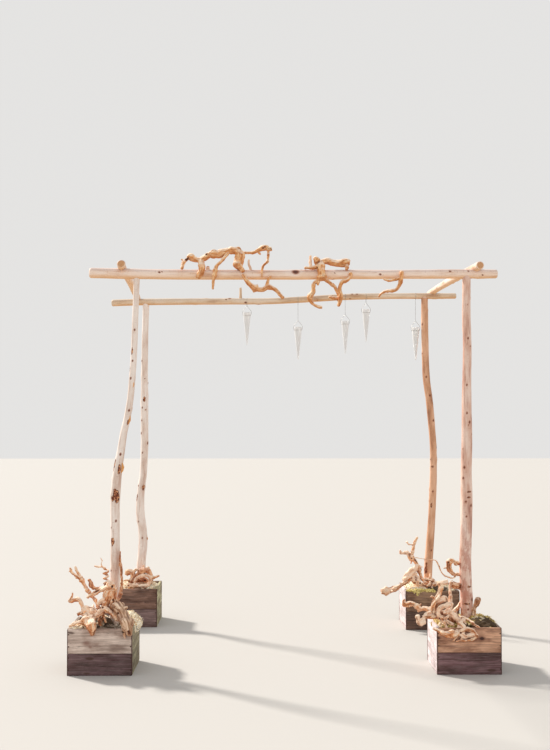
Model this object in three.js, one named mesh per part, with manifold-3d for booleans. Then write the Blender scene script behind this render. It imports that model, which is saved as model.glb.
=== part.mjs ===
// Rustic garden arbor: four crooked poles in square planter boxes, a top frame of round beams,
// dead branches laid over the front beam and in the planters, and five hanging glass cones.
// Millimetres, +Z up, +Y away from the viewer. The origin is on the ground in the plan's centre.
import * as THREE from "three";
import { mergeVertices } from "three/addons/utils/BufferGeometryUtils.js";
import Module from "manifold-3d";

const wasm = await Module();
wasm.setup();
const { Manifold, Mesh } = wasm;

// Driving dimensions.
const BOX_WIDTH = 406;
const BOX_HEIGHT = 290;
const BOARD_THICK = 19;
const FLOOR_LIFT = 12;
const FIT_GAP = 0.3;
const FRONT_Y = -735;
const BACK_LEFT_Y = 755;
const BACK_RIGHT_Y = 630;
const PLANTERS = {
  front_left: { x: -1154, y: FRONT_Y },
  front_right: { x: 1160, y: FRONT_Y },
  back_left: { x: -1147, y: BACK_LEFT_Y },
  back_right: { x: 1150, y: BACK_RIGHT_Y },
};

// The view that the crooked limbs were read off: a viewer 6.7 m before the front planters.
const VIEW = { x: -141, y: -7620, z: 1644, focal: 1060 };
const MID_U = 275;
const MID_V = 375;
const HORIZON_V = 412;
const AXIS_U = 262;

// A place in the picture (column u, row v) at the depth y becomes a point in millimetres.
function seen(u, v, y) {
  const pitch = Math.atan((HORIZON_V - MID_V) / VIEW.focal);
  const yaw = Math.atan((MID_U - AXIS_U) / VIEW.focal);
  const right = u - MID_U;
  const up = MID_V - v;
  const ahead = VIEW.focal * Math.cos(pitch) - up * Math.sin(pitch);
  const rise = VIEW.focal * Math.sin(pitch) + up * Math.cos(pitch);
  const alongX = right * Math.cos(yaw) + ahead * Math.sin(yaw);
  const alongY = ahead * Math.cos(yaw) - right * Math.sin(yaw);
  const reach = (y - VIEW.y) / alongY;
  return new THREE.Vector3(VIEW.x + alongX * reach, y, VIEW.z + rise * reach);
}

// Solids.

function toSolid(geometry) {
  const bare = new THREE.BufferGeometry();
  bare.setAttribute("position", geometry.getAttribute("position"));
  bare.setIndex(geometry.getIndex());
  const merged = mergeVertices(bare, 1e-3);
  const index = merged.getIndex().array;
  const kept = [];
  for (let i = 0; i < index.length; i += 3) {
    const [a, b, c] = [index[i], index[i + 1], index[i + 2]];
    if (a !== b && b !== c && a !== c) kept.push(a, b, c);
  }
  return new Manifold(new Mesh({
    numProp: 3,
    vertProperties: new Float32Array(merged.getAttribute("position").array),
    triVerts: new Uint32Array(kept),
  }));
}

function toGeometry(solid) {
  const mesh = solid.getMesh();
  const geometry = new THREE.BufferGeometry();
  geometry.setAttribute("position", new THREE.BufferAttribute(new Float32Array(mesh.vertProperties), 3));
  geometry.setIndex(new THREE.BufferAttribute(new Uint32Array(mesh.triVerts), 1));
  geometry.computeVertexNormals();
  return geometry;
}

// A cut can leave crumbs; the piece is its largest body.
function mainBody(solid) {
  const bodies = solid.decompose();
  return bodies.reduce((best, body) => (body.volume() > best.volume() ? body : best));
}

function block(lowX, lowY, lowZ, highX, highY, highZ) {
  const geometry = new THREE.BoxGeometry(highX - lowX, highY - lowY, highZ - lowZ);
  geometry.translate((lowX + highX) / 2, (lowY + highY) / 2, (lowZ + highZ) / 2);
  return toSolid(geometry);
}

function lump(x, y, z, wide, deep, high) {
  const geometry = new THREE.IcosahedronGeometry(1, 1);
  geometry.scale(wide, deep, high);
  geometry.translate(x, y, z);
  return toSolid(geometry);
}

// A round branch along a route of [u, v, y, radius] stops, with its ends slightly chamfered.
function limb(route, { sides = 6, perStop = 2, grow = 0 } = {}) {
  const stops = route.map(([u, v, y]) => seen(u, v, y));
  const radii = route.map((stop) => stop[3] + grow);
  return bentLimb(stops, radii, { sides, perStop });
}

function bentLimb(stops, radii, { sides = 7, perStop = 2 } = {}) {
  const curve = new THREE.CatmullRomCurve3(stops, false, "centripetal");
  const rings = Math.max(3, (stops.length - 1) * perStop);
  const length = curve.getLength();
  const radiusAt = (t) => {
    const place = t * (radii.length - 1);
    const before = Math.min(radii.length - 2, Math.floor(place));
    return THREE.MathUtils.lerp(radii[before], radii[before + 1], place - before);
  };
  const headLength = Math.min(0.6 * radii[0], 0.2 * length) / length;
  const tailLength = Math.min(0.6 * radii[radii.length - 1], 0.2 * length) / length;
  const profile = [new THREE.Vector2(0, 0), new THREE.Vector2(0.74 * radii[0], 0)];
  profile.push(new THREE.Vector2(radiusAt(0), headLength));
  for (let ring = 1; ring < rings; ring += 1) {
    const t = ring / rings;
    if (t < headLength * 1.5 || t > 1 - tailLength * 1.5) continue;
    profile.push(new THREE.Vector2(radiusAt(t), t));
  }
  profile.push(new THREE.Vector2(radiusAt(1), 1 - tailLength));
  profile.push(new THREE.Vector2(0.74 * radii[radii.length - 1], 1));
  profile.push(new THREE.Vector2(0, 1));
  const geometry = new THREE.LatheGeometry(profile, sides);
  const steps = 160;
  const frames = curve.computeFrenetFrames(steps, false);
  const position = geometry.getAttribute("position");
  for (let i = 0; i < position.count; i += 1) {
    const t = THREE.MathUtils.clamp(position.getY(i), 0, 1);
    const frame = Math.round(t * steps);
    const point = curve.getPoint(t);
    point.addScaledVector(frames.binormals[frame], position.getX(i));
    point.addScaledVector(frames.normals[frame], position.getZ(i));
    position.setXYZ(i, point.x, point.y, point.z);
  }
  return toSolid(geometry);
}

// The same for several routes whose third number is a distance behind a given depth.
function limbs(routes, depth, { grow = 0 } = {}) {
  const place = (route) => route.map(([u, v, behind, radius]) => [u, v, depth + behind, radius]);
  const placed = Object.values(routes).map(place);
  return Manifold.union(placed.map((route) => limb(route, { perStop: route.length > 4 ? 1 : 2, grow })));
}

// Planters: walls, floor and the packing that holds the pole.

function planterWalls({ x, y }, grow = 0) {
  const half = BOX_WIDTH / 2;
  const g = grow;
  const inner = half - BOARD_THICK;
  const side = inner - FIT_GAP;
  return {
    front: block(x - half - g, y - half - g, -g, x + half + g, y - inner + g, BOX_HEIGHT + g),
    back: block(x - half - g, y + inner - g, -g, x + half + g, y + half + g, BOX_HEIGHT + g),
    left: block(x - half - g, y - side - g, -g, x - inner + g, y + side + g, BOX_HEIGHT + g),
    right: block(x + inner - g, y - side - g, -g, x + half + g, y + side + g, BOX_HEIGHT + g),
  };
}

function planterFloor({ x, y }) {
  const inner = BOX_WIDTH / 2 - BOARD_THICK - FIT_GAP;
  return block(x - inner, y - inner, 0, x + inner, y + inner, FLOOR_LIFT);
}

// Each mound of dry moss: its place from the planter's centre, its height above the ground and
// its half sizes.
const FILL_TOP = 268;
const MOSS = {
  front_left: [
    [135, 95, 272, 96, 92, 66], [170, -10, 272, 66, 88, 50], [-95, -85, 266, 105, 98, 40],
    [55, -105, 266, 110, 82, 36], [-50, 80, 266, 130, 108, 42],
  ],
  front_right: [
    [95, -40, 266, 112, 130, 72], [-80, -90, 266, 112, 96, 44], [-10, 85, 266, 150, 104, 46],
    [130, -130, 266, 70, 56, 42], [-140, 40, 266, 60, 120, 38],
  ],
  back_left: [
    [95, -75, 266, 100, 108, 54], [-80, -20, 266, 104, 140, 44], [30, 95, 266, 150, 92, 40],
  ],
  back_right: [
    [-105, -115, 268, 94, 82, 44], [60, -105, 266, 124, 88, 50], [70, 70, 266, 116, 116, 48],
    [-80, 70, 266, 104, 112, 40],
  ],
};

function planterFill(name, cutters) {
  const { x, y } = PLANTERS[name];
  const inner = BOX_WIDTH / 2 - BOARD_THICK - 2 * FIT_GAP;
  const packing = block(x - inner, y - inner, FLOOR_LIFT + FIT_GAP, x + inner, y + inner, FILL_TOP);
  const mounds = MOSS[name].map(([dx, dy, z, ...halves]) => lump(x + dx, y + dy, z, ...halves));
  return mainBody(Manifold.union([packing, ...mounds]).subtract(Manifold.union(cutters)));
}

// Poles, from the planter's floor up to the beam they carry: column, row and radius.

const POLES = {
  front_left: [
    [113.6, 668, 33], [114.6, 610, 32], [115.3, 566, 30], [115.3, 533, 29], [115.2, 506, 30],
    [116.4, 484, 31], [118.4, 466, 29], [121, 450, 26], [123.6, 433, 23], [127.2, 418, 22],
    [130.4, 398, 21], [132.5, 375, 21], [134, 350, 20], [135.4, 312, 20], [136.8, 275, 19],
  ],
  front_right: [
    [467.4, 668, 42], [466.7, 613, 39.5], [466.2, 590, 39], [465.4, 566, 38], [465.8, 540, 37],
    [466.4, 505, 38], [466.4, 470, 36], [466.8, 440, 34], [466.6, 400, 30], [467, 372, 29],
    [467, 344, 28], [466.3, 320, 27.5], [466.5, 275, 27],
  ],
  back_left: [
    [141.2, 624, 35], [141, 590, 35], [141.4, 562, 34], [143, 545, 34], [142.4, 530, 33],
    [140.4, 513, 33], [140.4, 500, 32], [141.4, 488, 30], [143.6, 472, 29], [144.6, 443, 29],
    [144.4, 400, 29], [144.6, 370, 27], [145, 340, 26], [146, 303, 25],
  ],
  back_right: [
    [427, 627, 32], [427.6, 590, 31], [428.2, 570, 30], [430, 543, 30], [431.6, 520, 29],
    [432.4, 500, 28], [433.4, 470, 26], [433, 445, 26], [431.6, 425, 27], [429.4, 401, 27],
    [426.3, 378, 28], [425, 340, 27], [424.5, 297, 26],
  ],
};

function pole(name, grow = 0) {
  const route = POLES[name].map(([u, v, radius]) => [u, v, PLANTERS[name].y, radius]);
  return limb(route, { sides: 10, perStop: 1, grow });
}

// Beams: the front and back ones lie on the pole tops, the side ones lie across those.
// Each stop is a column, a row, a depth and a radius.

const BEAMS = {
  front_beam: [
    [89.6, 273, FRONT_Y, 33], [137, 274, FRONT_Y, 34], [200, 274.7, FRONT_Y, 33],
    [256, 274.8, FRONT_Y, 32], [333, 274.6, FRONT_Y, 31], [400, 274.4, FRONT_Y, 30],
    [466, 274, FRONT_Y, 30], [497, 274, FRONT_Y, 29],
  ],
  back_beam: [
    [112, 303, 768, 27], [146, 302, 753, 26], [225, 301.4, 718, 25], [275, 301, 697, 24],
    [346, 297, 666, 24], [390, 296, 647, 23], [424, 296, 632, 23], [456, 296, 618, 22],
  ],
};

// Short stubs of side shoots that the beams still carry. Here and below, each stop is a column,
// a row, the distance behind the depth of the beam or pole, and a radius.
const BEAM_DEPTHS = { front_beam: FRONT_Y, back_beam: BACK_LEFT_Y };
const BEAM_STUBS = {
  front_beam: {
    twig: [[250.8, 272, -6, 9], [250.2, 268, -6, 8], [248.8, 264.4, -8, 8], [248.8, 259.6, -8, 7]],
    knob: [[207.6, 271.6, -4, 14], [207.8, 266, -6, 9]],
  },
  back_beam: {
    twig: [[240.8, 301, -43, 10], [240.6, 294, -43, 10], [240.4, 287.6, -43, 9]],
  },
};

const SIDE_BEAMS = {
  left_beam: {
    stops: [
      [-1043, -850, 2592], [-1055, -735, 2592], [-1095, 10, 2588], [-1132, 768, 2556],
      [-1137, 880, 2550],
    ],
    radii: [27, 27, 26, 24, 23],
  },
  right_beam: {
    stops: [
      [1262, -850, 2588], [1255, -735, 2588], [1228, 0, 2596], [1195, 640, 2586],
      [1190, 760, 2582],
    ],
    radii: [27, 27, 26, 24, 23],
  },
};

function beam(name, grow = 0) {
  const stubs = limbs(BEAM_STUBS[name], BEAM_DEPTHS[name], { grow });
  return Manifold.union([limb(BEAMS[name], { sides: 12, perStop: 1, grow }), stubs]);
}

function sideBeam(name, grow = 0) {
  const { stops, radii } = SIDE_BEAMS[name];
  const places = stops.map((stop) => new THREE.Vector3(...stop));
  return bentLimb(places, radii.map((radius) => radius + grow), { sides: 12, perStop: 2 });
}

// Dead branches on the front beam.

const BEAM_BRANCHES = {
  arch_branch: {
    main_arch: [[187.8, 258.4, -8, 14], [190, 257, -4, 17], [194, 259, 0, 19], [199, 260, 0, 20],
      [204, 258.2, 0, 20], [209, 255, 0, 20], [214, 254.2, 0, 21], [218.6, 254.4, 0, 23],
      [223, 252.6, 0, 21], [227.4, 251, 0, 22], [232.4, 250.6, 0, 22], [237.2, 251.6, 0, 25],
      [239.4, 255.4, -2, 29], [239.2, 260.4, -4, 32], [238, 264.6, -12, 30], [236.6, 267.4, -20, 24]],
    left_lump: [[187.6, 259, -10, 11], [184.4, 261.4, -18, 14], [183, 264, -26, 12],
      [181.8, 269, -43, 9]],
    left_tip: [[184.6, 261, -14, 9], [181, 259, -14, 6]],
    left_leg: [[201, 261, -6, 20], [201.6, 265.4, -26, 21], [201.6, 270, -41, 24],
      [198.6, 275, -39, 16], [196.6, 278, -37, 8]],
    left_leg_second_foot: [[202, 270.6, -41, 18], [200.2, 275.4, -41, 14], [199, 279, -37, 8]],
    middle_leg: [[228.6, 252.6, -12, 11], [224.6, 257.4, -26, 11], [220.6, 262, -41, 10.5],
      [216.8, 265.6, -39, 11], [215, 271, -41, 13], [214, 276.4, -41, 11], [213.2, 281.6, -41, 10],
      [213, 289.4, -37, 8]],
    right_arm: [[240, 254, 0, 16], [244.4, 252.8, 2, 10], [249.4, 252.8, 2, 9], [254, 252.4, -1, 11],
      [257.6, 250.4, -4, 13], [261.6, 248.4, -8, 16], [265.4, 247.6, -11, 18],
      [268.6, 249.6, -13, 12], [271.8, 248.6, -14, 14]],
    right_arm_spur: [[257, 251, -5, 8], [260.8, 254.8, -10, 4]],
    right_leg: [[268.2, 249.8, -14, 10], [268.4, 254.6, -22, 8], [267.8, 259.6, -30, 8],
      [267.4, 261.8, -34, 9], [263.6, 265.4, -39, 8], [262.2, 270.4, -41, 8], [261.8, 277.4, -37, 6]],
    knob_left: [[208, 256, -8, 10], [206.2, 252.8, -14, 9]],
    knob_middle: [[228.4, 251, -6, 12], [226.8, 248, -10, 7]],
    knob_right: [[235, 250, -4, 13], [238.4, 248.4, -6, 12], [240.6, 250, -6, 10]],
  },
  low_branch: {
    arc: [[243, 274, -39, 12], [245.8, 279.4, -41, 13], [249.6, 284, -42, 15], [254, 287.4, -36, 18],
      [258, 289.2, -34, 18], [263, 289.4, -34, 16], [267.6, 287, -36, 16], [272.4, 288.2, -38, 13],
      [276.8, 291, -40, 13], [280.4, 294.8, -42, 12], [283.6, 298.4, -44, 9]],
    upper_fork: [[266.4, 287.4, -38, 11], [267.6, 282.6, -40, 10], [268.6, 278.8, -39, 9],
      [270.8, 275.8, -37, 9]],
  },
  wrapped_branch: {
    trunk_over_the_beam: [[320.4, 262.6, -4, 20], [320.6, 267, -29, 27], [321.4, 272.4, -43, 28],
      [321.8, 277, -41, 26], [322, 281, -37, 16]],
    left_leg: [[320, 277.6, -39, 17], [317.4, 280.4, -37, 14], [314.2, 283.4, -37, 12],
      [313.4, 287.8, -37, 13], [313.2, 291.8, -37, 14], [311, 294.8, -37, 15],
      [309.6, 297.6, -37, 17], [310.6, 300.6, -37, 12], [312.4, 303.4, -37, 11],
      [315.6, 305.6, -37, 11], [319, 307, -37, 11], [322.2, 307.4, -37, 8]],
    inner_spur: [[318.6, 281, -45, 10], [317.8, 285.4, -47, 7]],
    right_leg: [[321.6, 275.4, -41, 17], [325.8, 279.8, -37, 12], [330.4, 283.2, -37, 10],
      [334.6, 286.8, -37, 11], [337, 290.8, -37, 13], [339.6, 295.4, -37, 15],
      [339.4, 300.6, -37, 11], [338.2, 306.4, -37, 10]],
    right_leg_spur: [[339.4, 297.4, -39, 10], [335.8, 298.6, -43, 11], [332, 297.4, -45, 10],
      [328.8, 296.8, -45, 9]],
    right_arm: [[319, 265, -6, 18], [322.6, 262.4, -2, 20], [327, 261.2, 0, 24], [332, 262.6, 0, 22],
      [337, 263.6, 0, 22], [342, 263, -2, 22], [346.4, 262.2, -4, 24], [350, 262.4, -6, 18]],
    right_arm_foot: [[345.6, 262.4, -8, 14], [347, 266.4, -20, 11], [346.4, 270, -34, 9]],
    sawn_stub: [[316.4, 258.6, -40, 19], [316.2, 262, -30, 19], [317.4, 266, -20, 19]],
    left_arm: [[318, 266.6, -16, 14], [313.4, 267.6, -22, 12], [308.4, 267.8, -26, 10],
      [304.4, 267.8, -26, 8]],
    left_arm_twig: [[310.6, 266.8, -20, 10], [310.2, 261, -14, 9], [310.4, 255.2, -12, 8]],
  },
  slung_branch: {
    sling: [[350.6, 272.4, -35, 12], [349.8, 277.4, -41, 12], [346.4, 280.4, -51, 12],
      [342.6, 281.8, -59, 13], [340.2, 285.6, -62, 14], [339.8, 290, -63, 14], [341, 294, -63, 12],
      [340.6, 299, -62, 11], [339.2, 305.4, -59, 8]],
  },
  end_branch: {
    main: [[402, 271, -41, 12], [401.4, 277, -45, 12], [399.6, 284.6, -41, 11], [396, 289.8, -37, 11],
      [390.6, 290.8, -35, 11], [385.8, 291.4, -35, 10], [381.8, 293, -35, 9], [378.4, 297.2, -35, 6]],
    upper_fork: [[401.4, 277.6, -43, 9], [395, 279.6, -41, 9], [389, 280.8, -37, 8],
      [383.6, 279, -35, 7]],
  },
};

// Dead branches standing and lying in the planters.

const PLANTER_BRANCHES = {
  front_left: {
    upper_fork_left_tine: [[69.8, 567.4, -62, 6], [71.4, 572.4, -61, 7], [75.8, 575.4, -60, 8.5],
      [80.5, 578.6, -60, 11], [84, 583.4, -61, 12], [86.6, 588.4, -64, 12], [90.2, 594, -70, 12],
      [94, 598.6, -76, 10], [96.6, 603, -82, 11], [99, 609, -88, 14]],
    upper_fork_right_tine: [[75, 566.2, -52, 5.5], [77, 571.2, -54, 7], [79.4, 575.4, -57, 8],
      [81.2, 579, -59, 9]],
    upper_fork_stub: [[76.2, 575.4, -60, 7], [76.3, 578.8, -64, 5]],
    horn: [[88.8, 579.4, -96, 10], [90.2, 582.6, -96, 14], [92, 586.6, -94, 15], [96, 588.2, -94, 9],
      [102, 589.2, -96, 11]],
    snout: [[87.2, 598, -98, 8], [89.4, 595.8, -98, 10], [93.2, 594, -100, 12],
      [97.6, 591.4, -100, 14], [102.4, 589.4, -101, 17], [107.6, 588, -102, 23],
      [112.4, 586.4, -102, 26], [115.2, 585.6, -100, 24]],
    back_of_the_trunk: [[115.2, 587, -98, 17], [114.4, 592, -96, 18], [113.4, 598.6, -96, 19],
      [112.8, 604.6, -98, 18], [112.4, 611, -100, 18]],
    trunk: [[110, 589, -106, 24], [107.6, 594.6, -108, 23], [106.2, 600, -108, 23],
      [104.6, 605.4, -108, 23], [103, 610.6, -104, 20], [101, 616.4, -92, 14], [100, 627, -84, 12]],
    crest: [[84.6, 606.6, -104, 14], [88.4, 608.8, -110, 20], [92.4, 611.4, -118, 22],
      [96.2, 613.8, -124, 19], [99.4, 613.6, -124, 13]],
    left_arm: [[68.6, 599.6, -66, 10], [71, 600.6, -68, 11], [74.8, 600.2, -74, 10],
      [78.4, 599.8, -80, 12], [80.8, 602.6, -86, 13], [83, 607, -94, 14], [85.6, 611.6, -106, 20],
      [88, 616, -124, 26], [89.6, 621, -160, 29], [91.4, 626.8, -219, 26], [92, 632, -217, 18],
      [91.6, 635.6, -213, 10]],
    left_finger: [[72.6, 592.4, -64, 6], [72, 595.4, -66, 8], [70.4, 599, -68, 10]],
    tongue: [[94.2, 618.8, -152, 7], [97.4, 616.6, -146, 8], [101, 614.4, -132, 8],
      [104.6, 611.4, -116, 10]],
    brace: [[107.4, 606.8, -120, 11], [103.4, 608.4, -128, 15], [99.6, 611, -134, 14],
      [96.8, 614.6, -140, 12], [94.2, 618.2, -150, 11], [91, 623, -168, 12]],
    right_leg: [[103.6, 608.6, -122, 11], [107.4, 610.6, -130, 14], [111, 613.4, -136, 14],
      [114.4, 617, -142, 12], [117.6, 620.4, -150, 8]],
    middle_leg: [[100.6, 612, -112, 10], [104, 617, -112, 8], [106, 623, -108, 7]],
    slab: [[113.4, 605.4, -112, 17], [117.4, 607, -120, 29], [121.2, 611.8, -142, 34],
      [124.6, 618.6, -182, 35], [127.4, 625.6, -225, 33], [128.8, 631.4, -225, 25],
      [129.2, 635.6, -223, 15]],
    slip: [[121.4, 619, -226, 9], [123.4, 629, -225, 10], [124.6, 634, -223, 9],
      [124.8, 638.8, -217, 6]],
    rim_root: [[68.8, 626.6, -180, 6], [72.4, 624.6, -176, 9], [77.4, 622.4, -170, 10],
      [83, 622.8, -166, 11], [88, 623.4, -164, 12]],
    low_root: [[77, 614.6, -120, 10], [80.6, 613.4, -118, 13], [84.4, 616, -120, 12],
      [88, 619.6, -130, 12]],
    upright: [[115, 607, -92, 12], [120.2, 595, -66, 10], [121.8, 582, -52, 9],
      [121.2, 571, -46, 8.5], [120, 560, -44, 7.5], [120.2, 551, -46, 5]],
    curl_upper_end: [[106, 568.2, -72, 5], [103, 567, -66, 6], [98.2, 566.8, -60, 6],
      [94, 565.8, -56, 4]],
    curl_tip: [[102.6, 567.4, -68, 3.5], [101.2, 563.8, -68, 3.5], [102.2, 560.8, -64, 3],
      [100.2, 557.4, -62, 2.5]],
    base_knob: [[97.4, 604.6, -112, 12], [100, 602.4, -116, 15], [103.6, 600.4, -114, 17],
      [106, 600, -108, 14]],
    slab_crown: [[112.4, 605.6, -128, 12], [115.6, 604.4, -130, 12], [118.4, 604.4, -126, 11]],
  },
  front_right: {
    long_left_arm: [[404.8, 598.8, -66, 6], [404, 601.8, -68, 11], [405.6, 604, -70, 15],
      [409.4, 603.6, -72, 16], [413.4, 604, -76, 15], [416.8, 606.4, -80, 15],
      [420.4, 608.8, -84, 14], [425.4, 608, -88, 13], [429.8, 610, -92, 15], [434, 612.4, -96, 17],
      [440, 613.6, -98, 18], [447, 613.6, -100, 24]],
    claw: [[417.6, 615, -150, 13], [417.6, 618.4, -148, 13], [419.4, 621.8, -146, 18],
      [422.4, 621.8, -142, 19], [424.2, 617.8, -132, 13], [426.4, 614, -122, 11],
      [430.6, 612.2, -108, 12]],
    claw_root: [[424, 617, -136, 11], [429, 617, -122, 12], [434.6, 616.4, -110, 14],
      [441, 615.6, -102, 18]],
    raised_arm: [[438.8, 582.4, -86, 13], [440.6, 585.4, -86, 16], [440.4, 590, -88, 15],
      [439.2, 595, -90, 15], [436.4, 599.6, -94, 18], [433.8, 604.6, -96, 20], [433, 610.6, -96, 20]],
    raised_arm_head: [[440.4, 582.8, -86, 15], [444.4, 582.4, -84, 16], [447.8, 582, -82, 13]],
    raised_arm_stub: [[431.8, 600, -98, 6], [435.6, 602.6, -98, 11]],
    second_head: [[445.6, 601.2, -106, 12], [444.6, 598.4, -106, 13], [441, 600.2, -104, 13],
      [437.4, 602.8, -101, 14], [433.8, 607.4, -98, 15]],
    spike: [[450.8, 580.8, -62, 7], [450.2, 587, -66, 9.5], [450.4, 594.6, -74, 10.5],
      [450.6, 601, -82, 12], [450, 607.4, -92, 16], [448.4, 613, -100, 20]],
    shelf: [[451.4, 583.4, -60, 14], [455, 585.2, -44, 20], [459.4, 585.6, 0, 19],
      [463.4, 587, 46, 14]],
    open_curl: [[463.4, 564.6, 48, 9], [459, 563.8, 10, 10], [454.8, 562.6, -30, 11],
      [450.4, 560.6, -44, 12], [449, 565.2, -52, 15], [450, 570.4, -54, 15], [453.2, 573.6, -48, 12],
      [458.4, 574.4, -6, 11], [463.4, 578, 46, 10], [464.4, 588, 54, 11], [461.4, 601, 46, 13],
      [456, 610, 0, 15], [452, 614, -60, 18]],
    thin_twig: [[456.4, 575, -30, 6], [452.6, 578, -50, 6], [448, 577, -56, 5],
      [443.8, 575, -60, 4.5], [441, 571.4, -62, 4], [438.6, 565.4, -64, 4], [435.4, 560.4, -66, 3.5],
      [429.6, 559.8, -68, 3.5], [423, 558.8, -70, 3], [415, 557.4, -72, 3]],
    right_knob: [[477.6, 597.4, -40, 12], [477.8, 600.4, -40, 21], [476.2, 604.4, -38, 17],
      [474.6, 607.4, -34, 12], [473.8, 612.6, -32, 12], [473, 621, -40, 14], [466, 627.4, -80, 15],
      [457, 625, -110, 18]],
    heart: [[445, 611, -104, 20], [450.4, 613.4, -112, 20], [455.4, 616.6, -118, 19],
      [458.6, 621.4, -124, 18], [459.6, 626.4, -124, 17], [459.6, 631, -124, 14]],
    front_arch: [[450.4, 603.6, -106, 12], [445.6, 605.2, -124, 14], [440.6, 607.6, -130, 14],
      [438.6, 612, -136, 13], [440, 617, -142, 11], [443.6, 622, -150, 10]],
    cross_root: [[436.6, 612, -110, 12], [442, 617.6, -124, 14], [448, 622.4, -134, 15],
      [455, 626.4, -140, 14]],
    spill: [[433.4, 628.2, -188, 11], [436.8, 630.2, -207, 14], [440.6, 632.4, -213, 15],
      [445.4, 634, -216, 17], [451, 634, -218, 20], [456.4, 633, -217, 17], [459.6, 629, -190, 14],
      [459, 621, -150, 14]],
    lace_outer: [[452.6, 641, -213, 6], [456, 637.4, -216, 9], [459.4, 633, -218, 11],
      [463.4, 630.4, -219, 12], [468.4, 629.6, -219, 12], [472.6, 631, -218, 12],
      [475.6, 634.4, -215, 10], [477.8, 637.6, -212, 7]],
    lace_inner: [[459.6, 633.4, -215, 12], [465.6, 635.4, -216, 16], [470.6, 635, -216, 15],
      [475.6, 633, -215, 11]],
    lace_root: [[459, 622, -150, 16], [463, 626.6, -190, 16], [466, 630.6, -215, 15]],
    pale_stick: [[459, 617.6, -112, 9], [463, 617.6, -112, 9], [469.6, 620.6, -128, 8.5],
      [474.4, 624.8, -160, 8], [480.2, 628, -190, 6]],
    heart_back: [[446, 612, -96, 24], [450, 617, -98, 24], [452, 624, -100, 20]],
    thin_root: [[440.6, 616.6, -150, 8], [443.6, 621, -156, 7], [446, 625.6, -164, 8],
      [448, 630, -176, 9]],
    small_knob: [[443.4, 612.6, -134, 8], [445, 611.6, -138, 10]],
    low_knob: [[445.6, 617.6, -132, 10], [448.6, 616.4, -134, 11]],
    lace_lower: [[455.6, 641, -211, 7], [461, 639.8, -213, 9], [467, 640.4, -213, 9],
      [472.6, 639.4, -212, 9], [476.4, 636.4, -212, 8]],
    wedge: [[462.4, 618.4, -120, 11], [464, 621.6, -132, 10], [466.4, 624.8, -146, 5]],
  },
  back_left: {
    loop: [[127.4, 585, -120, 12], [131.4, 585, -124, 13], [137, 586, -130, 14],
      [142.6, 586.4, -134, 16], [147, 585.6, -132, 14], [149.6, 582.4, -128, 13],
      [150, 579, -124, 13], [148.8, 576.6, -118, 12], [145.4, 575.4, -112, 13],
      [141.4, 575.8, -108, 13], [137.8, 577.2, -110, 12], [135.4, 580.4, -118, 12],
      [134.8, 584, -126, 11]],
    brown_arch: [[131, 582.6, -104, 13], [135, 577, -98, 14], [139, 573, -96, 16],
      [143.4, 571, -96, 18], [147.4, 570.6, -98, 17], [150, 572.8, -100, 14],
      [151.2, 577.4, -106, 12], [150, 583.4, -116, 15]],
    left_mass: [[125.8, 574.6, -80, 15], [128.4, 572, -82, 17], [131.8, 572.4, -84, 19],
      [132.6, 577.4, -88, 20], [130.8, 583.4, -96, 18], [131, 590, -100, 18]],
    left_finger: [[130, 581.4, -104, 10], [126.6, 579.8, -108, 8], [123.6, 580.6, -110, 7]],
    upper_knob: [[132.8, 573.4, -84, 11], [136.4, 569.4, -88, 9], [139.6, 572.4, -92, 10]],
    spur: [[138.6, 574, -92, 9], [141.2, 570, -88, 8], [143.4, 567.2, -84, 6], [144.2, 564.6, -82, 4]],
    pale_knob: [[145.6, 571, -92, 10], [147.6, 568, -86, 11], [149.6, 567.4, -84, 10]],
    right_arm: [[149, 578.6, -118, 11], [152.4, 577.2, -116, 13], [156, 576.6, -112, 11],
      [159.6, 575.4, -108, 8]],
  },
  back_right: {
    stem: [[427, 584, -96, 12], [424, 581.4, -92, 11], [421.4, 577.4, -88, 11],
      [419.8, 572.4, -84, 13], [418.8, 568, -80, 18], [416.8, 563.6, -76, 15],
      [414.6, 560.2, -73, 14], [411.4, 558, -71, 20], [410, 555.4, -70, 17], [412, 553, -70, 10],
      [413.3, 549.2, -72, 9], [413.9, 545.2, -74, 12], [415.4, 541.2, -76, 10], [418, 537, -78, 6]],
    left_tine: [[410, 555.6, -70, 13], [406.8, 552.8, -68, 14], [403.6, 553.4, -66, 8],
      [400.8, 553, -64, 9], [400.2, 549.6, -63, 6]],
    small_tine: [[414.2, 543.6, -75, 8], [411, 544.8, -76, 7], [408.4, 544, -78, 6],
      [406.6, 541.6, -80, 10]],
    stub: [[418.8, 567.4, -84, 9], [422.6, 566.6, -90, 5]],
    left_body: [[402.8, 580.6, -118, 12], [405.6, 577.6, -112, 20], [408.8, 574.6, -106, 25],
      [412, 571.6, -98, 24], [415.4, 568.6, -90, 17], [417, 564.6, -80, 12]],
    low_body: [[407.4, 577.4, -108, 16], [411.6, 579.6, -108, 15], [415.6, 582.4, -112, 14]],
    middle_body: [[414, 575, -106, 18], [416, 578.6, -110, 26], [418.4, 582.6, -112, 26],
      [421, 586.4, -112, 18], [423, 592, -110, 16]],
    right_lobe: [[424.4, 578.6, -84, 9], [428, 579.8, -86, 13], [432.6, 580.6, -90, 19],
      [434.2, 584.6, -98, 21], [431.4, 588.4, -106, 18], [427, 588.6, -108, 14], [422, 587, -110, 15]],
    foot_spur: [[429.2, 581, -86, 11], [430, 576.6, -84, 9], [430.4, 573, -82, 7]],
    far_left_bar: [[381.2, 591.6, -140, 21], [386, 591, -134, 22], [391.6, 590, -126, 22],
      [396.4, 587.8, -118, 20], [400.6, 585.4, -112, 15], [405, 582.6, -110, 14], [410, 580, -108, 14]],
    bowl: [[421, 583.4, -118, 11], [424.6, 586.2, -124, 10], [428.4, 585.4, -122, 11],
      [431, 582, -112, 12]],
  },
};

// Glass cones and their wire hangers, hung from the back beam.

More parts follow.
